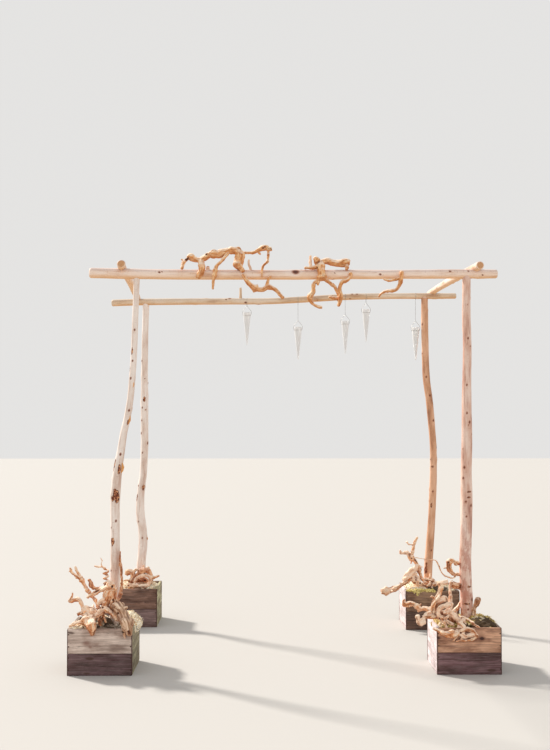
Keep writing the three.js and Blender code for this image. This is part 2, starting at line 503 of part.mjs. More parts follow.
const CONE_RIM = 32;
const CONE_LENGTH = 258;
const GLASS = 2;
const WIRE = 1.1;
const CONES = [
  { u: 247, rimV: 312.5, hangU: 246, hangV: 301.3, y: 709, beamRadius: 24.7 },
  { u: 298, rimV: 327, hangU: 297.6, hangV: 299.8, y: 687, beamRadius: 24.3 },
  { u: 345.2, rimV: 321, hangU: 345.2, hangV: 297, y: 666, beamRadius: 24 },
  { u: 366, rimV: 309.5, hangU: 365.6, hangV: 296.4, y: 657, beamRadius: 23.6 },
  { u: 415.5, rimV: 327.5, hangU: 415.5, hangV: 296, y: 636, beamRadius: 23 },
];
const SEAT_DROP = 26;

function coneSolid({ u, rimV, y }) {
  const profile = [
    [0, -CONE_LENGTH], [3, -CONE_LENGTH + 2], [5, -CONE_LENGTH + 12], [CONE_RIM, 0],
    [CONE_RIM - GLASS, 0], [3, -CONE_LENGTH + 24], [0, -CONE_LENGTH + 20],
  ].map(([r, h]) => new THREE.Vector2(r, h));
  const geometry = new THREE.LatheGeometry(profile, 16);
  geometry.rotateX(Math.PI / 2);
  const rim = seen(u, rimV, y);
  geometry.translate(rim.x, rim.y, rim.z);
  return toSolid(geometry);
}

function ring(radius, wire, segments) {
  return new THREE.TorusGeometry(radius, wire, 4, segments);
}

function rod(from, to, radius) {
  const along = to.clone().sub(from);
  const geometry = new THREE.CylinderGeometry(radius, radius, along.length(), 5);
  const upright = new THREE.Vector3(0, 1, 0);
  const turn = new THREE.Quaternion().setFromUnitVectors(upright, along.clone().normalize());
  const middle = from.clone().lerp(to, 0.5);
  geometry.applyQuaternion(turn);
  geometry.translate(middle.x, middle.y, middle.z);
  return toSolid(geometry);
}

function hangerSolid({ u, rimV, hangU, hangV, y, beamRadius }) {
  const rim = seen(u, rimV, y);
  const hang = seen(hangU, hangV, y);
  const slope = (CONE_RIM - 5) / (CONE_LENGTH - 12);
  const seatRadius = CONE_RIM - SEAT_DROP * slope + WIRE + FIT_GAP;
  const collar = ring(seatRadius, WIRE, 16).translate(rim.x, rim.y, rim.z - SEAT_DROP);
  const loopRadius = beamRadius + 2.5;
  const loopZ = hang.z + beamRadius - loopRadius + 0.4;
  const loop = ring(loopRadius, WIRE, 16).rotateY(Math.PI / 2).translate(rim.x, hang.y, loopZ);
  const apex = new THREE.Vector3(rim.x, rim.y, Math.min(loopZ - loopRadius - 3, rim.z + 52));
  const top = new THREE.Vector3(rim.x, rim.y, loopZ - loopRadius + WIRE);
  const pieces = [toSolid(collar), toSolid(loop), rod(apex, top, WIRE)];
  for (const side of [-1, 1]) {
    const out = seatRadius + 0.4;
    const foot = new THREE.Vector3(rim.x + side * out, rim.y, rim.z - SEAT_DROP);
    const shoulder = new THREE.Vector3(rim.x + side * (CONE_RIM + 3), rim.y, rim.z + 3);
    pieces.push(rod(foot, shoulder, WIRE), rod(shoulder, apex, WIRE));
  }
  return Manifold.union(pieces);
}

// Assembly.

const arbor = new THREE.Group();
arbor.name = "garden_arbor";

function finish(color, roughness, metalness = 0, opacity = 1) {
  const transparent = opacity < 1;
  return new THREE.MeshStandardMaterial({ color, roughness, metalness, opacity, transparent });
}

const PALE_BARK = finish(0xd2bba4, 0.75);
const TAN_BARK = finish(0xc09873, 0.75);
const PEELED_WOOD = finish(0xcfae90, 0.7);
const DEAD_WOOD = finish(0xc79a6e, 0.8);
const GREY_BOARD = finish(0x8a7a70, 0.85);
const DRY_PACKING = finish(0x9a8a58, 0.95);
const CLEAR_GLASS = finish(0xeef2f2, 0.05, 0, 0.35);
const STEEL_WIRE = finish(0x9a9a98, 0.4, 0.9);

function add(name, solid, material) {
  const mesh = new THREE.Mesh(toGeometry(solid), material);
  mesh.name = name;
  arbor.add(mesh);
}

const SNUG = FIT_GAP + 0.05;
const grownBeams = [beam("front_beam", SNUG), beam("back_beam", SNUG)];
const grownSideBeams = [sideBeam("left_beam", SNUG), sideBeam("right_beam", SNUG)];

for (const name of Object.keys(BEAMS)) add(name, beam(name), PEELED_WOOD);
for (const name of Object.keys(SIDE_BEAMS)) {
  add(name, mainBody(sideBeam(name).subtract(Manifold.union(grownBeams))), PEELED_WOOD);
}

for (const name of Object.keys(PLANTERS)) {
  const planter = PLANTERS[name];
  const walls = planterWalls(planter);
  for (const side of Object.keys(walls)) add(`planter_${name}_${side}`, walls[side], GREY_BOARD);
  add(`planter_${name}_floor`, planterFloor(planter), GREY_BOARD);
  const grownWalls = Manifold.union(Object.values(planterWalls(planter, SNUG)));
  const base = FLOOR_LIFT + FIT_GAP;
  const underFloor = block(planter.x - 300, planter.y - 300, -200, planter.x + 300, planter.y + 300, base);
  const standing = pole(name).subtract(Manifold.union([underFloor, ...grownBeams]));
  add(`pole_${name}`, mainBody(standing), name === "back_right" ? TAN_BARK : PALE_BARK);
  const grownPole = pole(name, SNUG);
  const cutters = Manifold.union([grownWalls, grownPole, underFloor]);
  add(`branch_${name}`, mainBody(limbs(PLANTER_BRANCHES[name], planter.y).subtract(cutters)), DEAD_WOOD);
  const grownBranch = limbs(PLANTER_BRANCHES[name], planter.y, { grow: SNUG });
  add(`fill_${name}`, planterFill(name, [grownWalls, grownPole, grownBranch]), DRY_PACKING);
}

const laid = [];
for (const name of Object.keys(BEAM_BRANCHES)) {
  const branch = limbs(BEAM_BRANCHES[name], FRONT_Y).subtract(Manifold.union([...grownBeams, ...laid]));
  add(name, mainBody(branch), DEAD_WOOD);
  laid.push(limbs(BEAM_BRANCHES[name], FRONT_Y, { grow: SNUG }));
}

CONES.forEach((cone, i) => {
  add(`glass_cone_${i + 1}`, coneSolid(cone), CLEAR_GLASS);
  add(`hanger_${i + 1}`, mainBody(hangerSolid(cone).subtract(Manifold.union(grownBeams))), STEEL_WIRE);
});

export default arbor;
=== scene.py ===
# Rustic garden arbor: crooked poles in square planters, round beams, dead branches and glass cones.
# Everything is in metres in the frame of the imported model: +Z up, +Y away from the viewer.
import math
from types import SimpleNamespace
import bpy
import bmesh
import numpy as np
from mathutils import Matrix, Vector, kdtree
from mathutils.bvhtree import BVHTree


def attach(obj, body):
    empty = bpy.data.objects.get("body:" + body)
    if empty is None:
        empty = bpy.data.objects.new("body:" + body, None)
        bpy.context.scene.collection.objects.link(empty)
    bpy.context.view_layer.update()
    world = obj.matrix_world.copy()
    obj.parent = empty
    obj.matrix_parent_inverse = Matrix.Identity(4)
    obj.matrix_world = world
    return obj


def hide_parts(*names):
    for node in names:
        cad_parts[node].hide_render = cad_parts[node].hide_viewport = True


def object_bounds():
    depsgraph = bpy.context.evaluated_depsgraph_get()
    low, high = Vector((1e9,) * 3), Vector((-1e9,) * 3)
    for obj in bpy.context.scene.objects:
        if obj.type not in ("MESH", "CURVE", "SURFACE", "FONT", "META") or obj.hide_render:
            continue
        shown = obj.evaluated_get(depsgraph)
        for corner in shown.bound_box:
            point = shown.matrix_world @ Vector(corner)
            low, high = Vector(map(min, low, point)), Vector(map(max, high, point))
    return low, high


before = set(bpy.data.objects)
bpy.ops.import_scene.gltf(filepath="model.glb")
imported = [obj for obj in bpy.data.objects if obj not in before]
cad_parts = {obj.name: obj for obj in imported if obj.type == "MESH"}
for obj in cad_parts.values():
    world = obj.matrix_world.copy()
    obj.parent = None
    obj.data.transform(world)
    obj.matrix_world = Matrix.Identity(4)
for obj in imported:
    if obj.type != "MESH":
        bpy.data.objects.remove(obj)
start_low, start_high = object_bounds()

# Driving dimensions, in metres: the planters and their packing.
BOX_WIDTH = 0.406
BOX_HEIGHT = 0.290
BOARD_THICK = 0.019
BOARD_EDGE = 0.0018
SEAM = 0.0016
SEAM_HEIGHT = 0.136
FILL_LOW = 0.014
FILL_TOP = 0.268
POLE_FOOT = 0.0126
# The glass cones and the wire that carries them.
CONE_RIM = 0.032
CONE_LENGTH = 0.258
GLASS = 0.002
SEAT_DROP = 0.026
WIRE = 0.0011

# Depths of the poles, in millimetres, and the planters' middles in plan, in metres.
FRONT_Y = -735
BACK_LEFT_Y = 755
BACK_RIGHT_Y = 630
DEPTHS = {
    "front_left": FRONT_Y, "front_right": FRONT_Y, "back_left": BACK_LEFT_Y, "back_right": BACK_RIGHT_Y,
    "front_beam": FRONT_Y, "back_beam": BACK_LEFT_Y,
}
CORNERS = {
    "front_left": (-1.154, FRONT_Y / 1000),
    "front_right": (1.160, FRONT_Y / 1000),
    "back_left": (-1.147, BACK_LEFT_Y / 1000),
    "back_right": (1.150, BACK_RIGHT_Y / 1000),
}

# The viewer, and the picture's own frame of columns and rows.
PICTURE_WIDTH = 550.0
PICTURE_HEIGHT = 750.0
VIEWER = np.array((-0.141, -7.620, 1.644))
FOCAL = 1060.0
MID_U = PICTURE_WIDTH / 2
MID_V = PICTURE_HEIGHT / 2
HORIZON_V = 412.0
AXIS_U = 262.0
PITCH = math.atan((HORIZON_V - MID_V) / FOCAL)
YAW = math.atan((MID_U - AXIS_U) / FOCAL)

# How finely the wood is modelled: steps along it and voxels in metres, and sides round it.
ROUND_STEP = 0.009
ROUND_SIDES = 36
BRANCH_STEP = 0.005
BRANCH_SIDES = 20
FINE_VOXEL = 0.0027
COARSE_VOXEL = 0.0031
MOSS_VOXEL = 0.0046


def seen(u, v, y):
    """The point at depth y, in millimetres, that shows in column u and row v of the picture."""
    right = u - MID_U
    up = MID_V - v
    ahead = FOCAL * math.cos(PITCH) - up * math.sin(PITCH)
    rise = FOCAL * math.sin(PITCH) + up * math.cos(PITCH)
    along_x = right * math.cos(YAW) + ahead * math.sin(YAW)
    along_y = ahead * math.cos(YAW) - right * math.sin(YAW)
    reach = (y / 1000 - VIEWER[1]) / along_y
    return np.array((VIEWER[0] + along_x * reach, y / 1000, VIEWER[2] + rise * reach))


# Camera, light and floor.

SENSOR = 36.0
SURROUNDINGS = (1.0, 0.99, 0.975, 1.0)
SURROUNDINGS_STRENGTH = 0.78
SUN_COLOUR = (1.0, 0.95, 0.88)
SUN_STRENGTH = 4.5
SUN_WIDTH = 0.10
SUN_HEADING = (0.36, -0.30, -0.36)
FLOOR_REACH = 30.0


def make_camera():
    data = bpy.data.cameras.new("camera")
    data.sensor_fit = "VERTICAL"
    data.sensor_height = SENSOR
    data.lens = SENSOR * FOCAL / PICTURE_HEIGHT
    camera = bpy.data.objects.new("camera", data)
    camera.location = VIEWER
    camera.rotation_euler = (math.pi / 2 + PITCH, 0.0, -YAW)
    bpy.context.collection.objects.link(camera)
    bpy.context.scene.camera = camera


def make_light():
    """Even pale surroundings and one broad warm light from the upper left, behind the arbor."""
    world = bpy.data.worlds.new("studio")
    world.use_nodes = True
    background = world.node_tree.nodes["Background"]
    background.inputs["Color"].default_value = SURROUNDINGS
    background.inputs["Strength"].default_value = SURROUNDINGS_STRENGTH
    bpy.context.scene.world = world
    data = bpy.data.lights.new("key", "SUN")
    data.energy = SUN_STRENGTH
    data.angle = SUN_WIDTH
    data.color = SUN_COLOUR
    light = bpy.data.objects.new("key", data)
    light.rotation_euler = Vector(SUN_HEADING).to_track_quat("-Z", "Y").to_euler()
    bpy.context.collection.objects.link(light)
    bpy.context.scene.view_settings.view_transform = "Standard"


def make_floor():
    mesh = bpy.data.meshes.new("floor")
    corners = [(x * FLOOR_REACH, y * FLOOR_REACH, 0) for x, y in ((-1, -1), (1, -1), (1, 1), (-1, 1))]
    mesh.from_pydata(corners, [], [(0, 1, 2, 3)])
    floor = bpy.data.objects.new("floor", mesh)
    bpy.context.collection.objects.link(floor)
    mesh.materials.append(Shade("pale_floor").finish("BEBBB7", 0.9))


# Noise, worked out for many points at once.

NOISE_SIZE = 4096
NOISE_TABLE = np.random.default_rng(11).random(NOISE_SIZE)
HASH = np.array((73856093, 19349663, 83492791))


def value_noise(points):
    """Smooth noise from -1 to 1."""
    base = np.floor(points).astype(np.int64)
    part = points - base
    part = part * part * (3 - 2 * part)
    total = np.zeros(len(points))
    for corner in range(8):
        step = np.array((corner & 1, corner >> 1 & 1, corner >> 2))
        key = (base + step) * HASH
        key = (key[:, 0] ^ key[:, 1] ^ key[:, 2]) % NOISE_SIZE
        weight = np.where(step == 1, part, 1 - part).prod(axis=1)
        total += NOISE_TABLE[key] * weight
    return total * 2 - 1


def fractal(points, octaves):
    """Noise at several sizes, each octave half as large and half as strong as the one before."""
    total = np.zeros(len(points))
    for octave in range(octaves):
        total += 0.5 ** octave * value_noise(points * 2 ** octave + 17.3 * octave)
    return total


# Limbs: a centre line with a radius, and the straightened place of each point beside it.

def catmull_rom(stops, radii, step):
    """A smooth line through the stops, and its radius at each sample."""
    first = 2 * stops[0] - stops[1]
    last = 2 * stops[-1] - stops[-2]
    points = np.vstack((first, stops, last))
    line, sizes = [], []
    for i in range(len(stops) - 1):
        p0, p1, p2, p3 = points[i:i + 4]
        t1 = math.sqrt(np.linalg.norm(p1 - p0))
        t2 = t1 + math.sqrt(np.linalg.norm(p2 - p1))
        t3 = t2 + math.sqrt(np.linalg.norm(p3 - p2))
        count = max(2, int(math.ceil(np.linalg.norm(p2 - p1) / step)))
        t = np.linspace(t1, t2, count, endpoint=False)[:, None]
        a1 = (t1 - t) / t1 * p0 + t / t1 * p1
        a2 = (t2 - t) / (t2 - t1) * p1 + (t - t1) / (t2 - t1) * p2
        a3 = (t3 - t) / (t3 - t2) * p2 + (t - t2) / (t3 - t2) * p3
        b1 = (t2 - t) / t2 * a1 + t / t2 * a2
        b2 = (t3 - t) / (t3 - t1) * a2 + (t - t1) / (t3 - t1) * a3
        line.append((t2 - t) / (t2 - t1) * b1 + (t - t1) / (t2 - t1) * b2)
        share = (t[:, 0] - t1) / (t2 - t1)
        sizes.append(radii[i] * (1 - share) + radii[i + 1] * share)
    line.append(stops[-1:])
    sizes.append(np.array(radii[-1:]))
    return np.vstack(line), np.concatenate(sizes)


def unit(rows):
    """Rows of vectors, each brought to a length of 1."""
    return rows / np.maximum(np.linalg.norm(rows, axis=1), 1e-9)[:, None]


class Limb:
    """A sampled centre line with its radius, its place along, and two directions across it."""

    def __init__(self, stops, radii, step):
        self.centre, self.radius = catmull_rom(np.array(stops, float), list(radii), step)
        self.ahead = unit(np.gradient(self.centre, axis=0))
        gaps = np.linalg.norm(np.diff(self.centre, axis=0), axis=1)
        self.along = np.concatenate(([0.0], np.cumsum(gaps)))
        side = np.cross(self.ahead[0], (0.0, 0.35, 0.94))
        if np.linalg.norm(side) < 0.1:
            side = np.cross(self.ahead[0], (0.0, 1.0, 0.0))
        sides = []
        for direction in self.ahead:
            side = side - direction * np.dot(side, direction)
            side = side / np.linalg.norm(side)
            sides.append(side)
        self.side = np.array(sides)
        self.up = np.cross(self.ahead, self.side)

    def outward(self, ring, angle):
        """The direction at an angle round the line."""
        return math.cos(angle) * self.side[ring] + math.sin(angle) * self.up[ring]


def seen_limb(stops, depth, step):
    """A limb from stops: picture column and row, millimetres behind the depth, radius in millimetres."""
    return Limb([seen(u, v, depth + y) for u, v, y, _ in stops], [r / 1000 for *_, r in stops], step)


def end_cap(middle, ring, points, straight, first):
    """Three shrinking rings and a hub that close the end of a tube: vertices, places and faces."""
    sides = len(ring)
    shares = (0.93, 0.6, 0.25)
    cap = [middle + (points[ring] - middle) * share for share in shares] + [middle[None]]
    flat = [straight[ring] * (share, share, 1.0) for share in shares]
    flat.append(np.array([(0.0, 0.0, straight[ring[0], 2])]))
    rows = [ring] + [first + sides * i + np.arange(sides) for i in range(len(shares))]
    hub = first + sides * len(shares)
    faces = []
    for outer, inner in zip(rows, rows[1:]):
        for i in range(sides):
            j = (i + 1) % sides
            faces.append([outer[i], inner[i], inner[j], outer[j]])
    faces += [[rows[-1][i], hub, rows[-1][(i + 1) % sides]] for i in range(sides)]
    return np.vstack(cap), np.vstack(flat), faces


def skin(limb, sides, blunt, relief=None):
    """Vertices, faces, straightened places and sawn-end marks of a closed tube round a limb."""
    rings = len(limb.centre)
    turn = np.tile(np.linspace(0, 2 * math.pi, sides, endpoint=False), rings)
    which = np.repeat(np.arange(rings), sides)
    radius = limb.radius[which]
    edge = np.minimum(limb.along, limb.along[-1] - limb.along)[which]
    rounding = np.clip(edge / (blunt * radius), 0, 1)
    radius = radius * (0.80 + 0.20 * np.sqrt(1 - (1 - rounding) ** 2))
    if relief is not None:
        radius = radius + relief(limb.along[which], turn, radius)
    outward = np.cos(turn)[:, None] * limb.side[which] + np.sin(turn)[:, None] * limb.up[which]
    points = limb.centre[which] + outward * radius[:, None]
    straight = np.stack((np.cos(turn) * radius, np.sin(turn) * radius, limb.along[which]), axis=1)
    index = np.arange(rings * sides).reshape(rings, sides)
    following = np.roll(index, -1, axis=1)
    quads = np.stack((index[:-1], following[:-1], following[1:], index[1:]), axis=-1)
    faces = quads.reshape(-1, 4).tolist()
    tube = len(points)
    for end in (0, -1):
        cap, flat, more = end_cap(limb.centre[end], index[end], points, straight, len(points))
        points = np.vstack((points, cap))
        straight = np.vstack((straight, flat))
        faces += more if end == 0 else [face[::-1] for face in more]
    return points, faces, straight, (np.arange(len(points)) >= tube).astype(float)


# Pieces.

ATTRIBUTE_KINDS = {1: ("FLOAT", "value"), 3: ("FLOAT_VECTOR", "vector"), 4: ("FLOAT_COLOR", "color")}


def set_attribute(mesh, name, values):
    rows = np.asarray(values, np.float32).reshape(len(mesh.vertices), -1)
    kind, key = ATTRIBUTE_KINDS[rows.shape[1]]
    mesh.attributes.new(name, kind, "POINT").data.foreach_set(key, rows.ravel())


def smooth(mesh):
    mesh.polygons.foreach_set("use_smooth", [True] * len(mesh.polygons))
    mesh.update()


def vertex_rows(mesh, key):
    """The places or the normals of a mesh's vertices."""
    flat = np.empty(len(mesh.vertices) * 3)
    mesh.vertices.foreach_get(key, flat)
    return flat.reshape(-1, 3)


def face_lists(mesh):
    return [list(polygon.vertices) for polygon in mesh.polygons]


def unpacked(bm):
    """The vertices and faces of a bmesh, which is freed."""
    points = np.array([vertex.co[:] for vertex in bm.verts])
    faces = [[vertex.index for vertex in face.verts] for face in bm.faces]
    bm.free()
    return points, faces


class Pile:
    """Vertices and faces gathered from several bodies, with values for each vertex."""

    def __init__(self, **defaults):
        self.points, self.faces, self.count = [], [], 0
        self.defaults = defaults
        self.values = {key: [] for key in defaults}

    def add(self, points, faces, **values):
        self.faces += [[int(i) + self.count for i in face] for face in faces]
        self.points.append(points)
        self.count += len(points)
        for key, default in self.defaults.items():
            value = values.get(key, default)
            self.values[key].append(np.broadcast_to(value, (len(points),) + np.shape(default)))

    def mesh(self, name):
        """The whole pile as one mesh, kept inside the model's own bounds."""
        mesh = bpy.data.meshes.new(name)
        points = np.clip(np.vstack(self.points), start_low, start_high)
        mesh.from_pydata(points.tolist(), [], self.faces)
        for key, parts in self.values.items():
            set_attribute(mesh, key, np.concatenate(parts))
        smooth(mesh)
        return mesh

    def voxel_mesh(self, voxel):
        """The whole pile fused into one skin of small even faces."""
        mesh = bpy.data.meshes.new("rough")
        mesh.from_pydata(np.vstack(self.points).tolist(), [], self.faces)
        rough = bpy.data.objects.new("rough", mesh)
        bpy.context.collection.objects.link(rough)
        modifier = rough.modifiers.new("voxels", "REMESH")
        modifier.mode = "VOXEL"
        modifier.voxel_size = voxel
        modifier.adaptivity = 0.0
        graph = bpy.context.evaluated_depsgraph_get()
        fine = bpy.data.meshes.new_from_object(rough.evaluated_get(graph))
        bpy.data.objects.remove(rough)
        bpy.data.meshes.remove(mesh)
        return fine


def add_piece(name, mesh, material, slot, *nodes):
    piece = bpy.data.objects.new(name, mesh)
    bpy.context.collection.objects.link(piece)
    mesh.materials.clear()
    mesh.materials.append(material)
    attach(piece, "root")
    if nodes:
        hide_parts(*nodes)


# Materials.

def colour(code):
    """A linear colour from six hexadecimal digits."""
    parts = [int(code[i:i + 2], 16) / 255 for i in (0, 2, 4)]
    return [p / 12.92 if p <= 0.04045 else ((p + 0.055) / 1.055) ** 2.4 for p in parts] + [1.0]


class Shade:
    """A material whose nodes are wired by short calls."""

    def __init__(self, name):
        self.material = bpy.data.materials.new(name)
        self.material.use_nodes = True
        self.nodes = self.material.node_tree.nodes
        self.links = self.material.node_tree.links
        self.shader = self.nodes["Principled BSDF"]

    def feed(self, socket, value):
        """Links an output to a socket, or sets the socket to a number or a colour."""
        if isinstance(value, bpy.types.NodeSocket):
            self.links.new(value, socket)
        else:
            socket.default_value = colour(value) if isinstance(value, str) else value

    def node(self, kind, output, sockets, **settings):
        """Adds a node, sets it up, feeds its sockets and returns one of its outputs."""
        node = self.nodes.new(f"ShaderNode{kind}")
        for name, value in settings.items():
            setattr(node, name, value)
        for key, value in sockets.items():
            self.feed(node.inputs[key], value)
        return node.outputs[output]

    def attribute(self, name, output="Fac"):
        return self.node("Attribute", output, {}, attribute_name=name)

    def place(self):
        return self.node("TexCoord", "Object", {})

    def scaled(self, vector, scale, offset=(0.0, 0.0, 0.0)):
        return self.node("Mapping", "Vector", {"Vector": vector, "Scale": scale, "Location": offset})

    def noise(self, vector, scale, detail, roughness=0.55):
        sockets = {"Vector": vector, "Scale": scale, "Detail": detail, "Roughness": roughness}
        return self.node("TexNoise", "Fac", sockets)

    def grain(self, vector, stretch, detail, roughness=0.55, offset=(0.0, 0.0, 0.0)):
        """Noise that is drawn out along its longest direction."""
        return self.noise(self.scaled(vector, stretch, offset), 1.0, detail, roughness)

    def ramp(self, factor, *stops):
        """Greys or colours between the stops."""
        node = self.nodes.new("ShaderNodeValToRGB")
        self.feed(node.inputs["Fac"], factor)
        elements = node.color_ramp.elements
        while len(elements) < len(stops):
            elements.new(0.5)
        for element, (position, value) in zip(elements, stops):
            element.position = position
            element.color = colour(value) if isinstance(value, str) else [value] * 3 + [1.0]
        return node.outputs["Color"]

    def mix(self, factor, a, b, blend="MIX"):
        return self.node("Mix", 2, {0: factor, 6: a, 7: b}, data_type="RGBA", blend_type=blend)

    def layers(self, body, *layers):
        """Lays colours over a body, each as strong as its ramp says between two values of its mask."""
        for mask, start, end, shade in layers:
            body = self.mix(self.ramp(mask, start, end), body, shade)
        return body

    def maths(self, operation, a, b, c=0.0):
        return self.node("Math", 0, {0: a, 1: b, 2: c}, operation=operation)

    def upward(self):
        """1 on faces that look up, 0 on faces that look down."""
        normal = self.node("NewGeometry", "Normal", {})
        return self.maths("MULTIPLY_ADD", self.node("SeparateXYZ", "Z", {0: normal}), 0.5, 0.5)

    def bump(self, height, strength, distance):
        return self.node("Bump", "Normal", {"Height": height, "Strength": strength, "Distance": distance})

    def finish(self, base, roughness, normal=None):
        self.feed(self.shader.inputs["Base Color"], base)
        self.feed(self.shader.inputs["Roughness"], roughness)
        if normal is not None:
            self.feed(self.shader.inputs["Normal"], normal)
        return self.material


def dead_wood(name, dark, mid, light):
    """Sand-blasted vine wood: tan grain, bleached ridges, tops bleached and painted highlight, painted shade
    below, in hollows and between limbs.
    """
    shade = Shade(name)
    limb = shade.attribute("limb", "Vector")
    cave_shade, ridge, tone, crowd_shade, pale = map(shade.attribute, ("cave_shade", "ridge", "tone", "crowd_shade", "pale"))
    upward = shade.upward()
    broad = shade.grain(limb, (44, 44, 20), 5, 0.6)
    fibre = shade.grain(limb, (420, 420, 26), 4, 0.6)
    streak = shade.grain(limb, (240, 240, 13), 2, offset=(4, 1, 2))
    slab = shade.grain(limb, (52, 52, 4), 5, 0.65, (2, 8, 3))
    red = shade.ramp(broad, (0.38, "6A2E16"), (0.49, "B4643A"), (0.60, "EAAC7C"))
    grey = shade.ramp(slab, (0.36, "4A2A1E"), (0.45, "A87C5C"), (0.54, "DCBA9C"), (0.64, "FAE2CA"))
    # Pale limbs are lightened: partly bleaching, partly painted light.
    bleached_and_lit = shade.maths("MULTIPLY", pale, shade.ramp(broad, (0.36, 0.15), (0.55, 0.80)))
    body = shade.layers(
        shade.ramp(broad, (0.38, dark), (0.49, mid), (0.59, light)),
        # Painted shade: faces that look down are darkened.
        (upward, (0.12, 0.80), (0.54, 0.0), dark),
        (fibre, (0.28, 0.55), (0.45, 0.0), "9A5426"),
        (fibre, (0.52, 0.0), (0.75, 0.4), "FFE2C2"),
        (streak, (0.56, 0.0), (0.64, 0.8), "A85C2C"),
        (ridge, (0.20, 0.0), (0.90, 0.45), "FFE0BE"),
    )
    body = shade.layers(
        shade.mix(bleached_and_lit, body, "FFDFC4"),
        # Tops lighter: partly sun bleaching, partly painted highlight.
        (upward, (0.58, 0.0), (0.84, 0.78), "FFEAD4"),
        (tone, (0.10, 0.85), (0.40, 0.0), red),
        (tone, (0.60, 0.0), (0.90, 0.85), grey),
        # Painted shade where other wood lies close round a place.
        (crowd_shade, (0.12, 0.0), (0.62, 0.75), "7E3A18"),
        # Painted shade in grooves, hollows and eyes.
        (cave_shade, (0.15, 0.0), (0.55, 0.8), "8A4E2C"),
        (cave_shade, (0.62, 0.0), (0.90, 0.90), "4A1E10"),
    )
    height = shade.maths("ADD", fibre, shade.maths("MULTIPLY", broad, 0.6))
    return shade.finish(body, shade.ramp(fibre, (0.3, 0.88), (0.8, 0.66)), shade.bump(height, 0.7, 0.002))


def torn_edges(shade, limb, peel):
    """The mask of the bare patches with torn edges."""
    torn = shade.grain(limb, (220, 220, 110), 5, 0.75, (1, 6, 4))
    torn = shade.maths("MULTIPLY_ADD", torn, 1.9, -0.95)
    inside = shade.ramp(peel, (0.02, 0.0), (0.25, 1.0))
    return shade.maths("ADD", peel, shade.maths("MULTIPLY", torn, inside))


def pole_bark(name, light, mid, dark, blotch=0.0, under_shade=None, top="F6E4DE"):
    """Smooth pale bark with fine cross marks, dark knots and patches where the bark has gone, and painted
    shade on faces that look down.
    """
    shade = Shade(name)
    limb = shade.attribute("limb", "Vector")
    knot, peel, cut, flake = map(shade.attribute, ("knot", "peel", "cut", "flake"))
    upward = shade.upward()
    broad = shade.grain(limb, (16, 16, 4), 4)
    fibre = shade.grain(limb, (300, 300, 14), 4, 0.6)
    cross = shade.grain(limb, (26, 26, 210), 3, 0.6)
    streak = shade.grain(limb, (120, 120, 7), 3, offset=(3, 9, 1))
    blot = shade.grain(limb, (38, 38, 17), 5, 0.65, (5, 5, 2))
    spots = shade.grain(limb, (130, 130, 110), 3, offset=(7, 1, 4))
    rings = shade.grain(limb, (520, 520, 1), 1)
    torn = torn_edges(shade, limb, peel)
    bare = shade.ramp(spots, (0.42, "521C0C"), (0.53, "96441C"), (0.60, "F0B480"))
    low = shade.ramp(shade.node("SeparateXYZ", "Z", {0: shade.place()}), (0.75, 1.0), (1.0, 0.15))
    blotched = shade.maths("MULTIPLY", low, shade.ramp(blot, (0.48, 0.0), (0.56, blotch)))
    body = shade.layers(
        shade.ramp(broad, (0.34, dark), (0.47, mid), (0.60, light)),
        (fibre, (0.42, 0.0), (0.75, 0.5), light),
        # Painted shade on faces that look down.
        (upward, (0.06, 0.8), (0.36, 0.0), under_shade or dark),
        (upward, (0.58, 0.0), (0.85, 0.60), top),
        (streak, (0.56, 0.0), (0.68, 0.55), dark),
        (cross, (0.62, 0.0), (0.72, 0.45), "A0705A"),
    )
    body = shade.layers(
        shade.mix(blotched, body, "B46850"),
        (torn, (0.26, 0.0), (0.36, 0.85), "4A2616"),
        (torn, (0.42, 0.0), (0.55, 0.95), bare),
        (knot, (0.18, 0.0), (0.60, 0.95), shade.ramp(knot, (0.40, "A4603E"), (0.90, "4E1E0E"))),
    )
    body = shade.mix(flake, body, shade.ramp(fibre, (0.35, "C8782E"), (0.65, "F6BC78")))
    body = shade.mix(cut, body, shade.ramp(rings, (0.35, "B57A4C"), (0.65, "E2B487")))
    height = shade.maths("ADD", shade.maths("MULTIPLY", fibre, 0.5), shade.maths("MULTIPLY", cross, 0.5))
    height = shade.maths("SUBTRACT", height, shade.maths("MULTIPLY", shade.maths("ADD", knot, peel), 1.2))
    return shade.finish(body, shade.ramp(fibre, (0.3, 0.80), (0.8, 0.60)), shade.bump(height, 0.5, 0.0015))


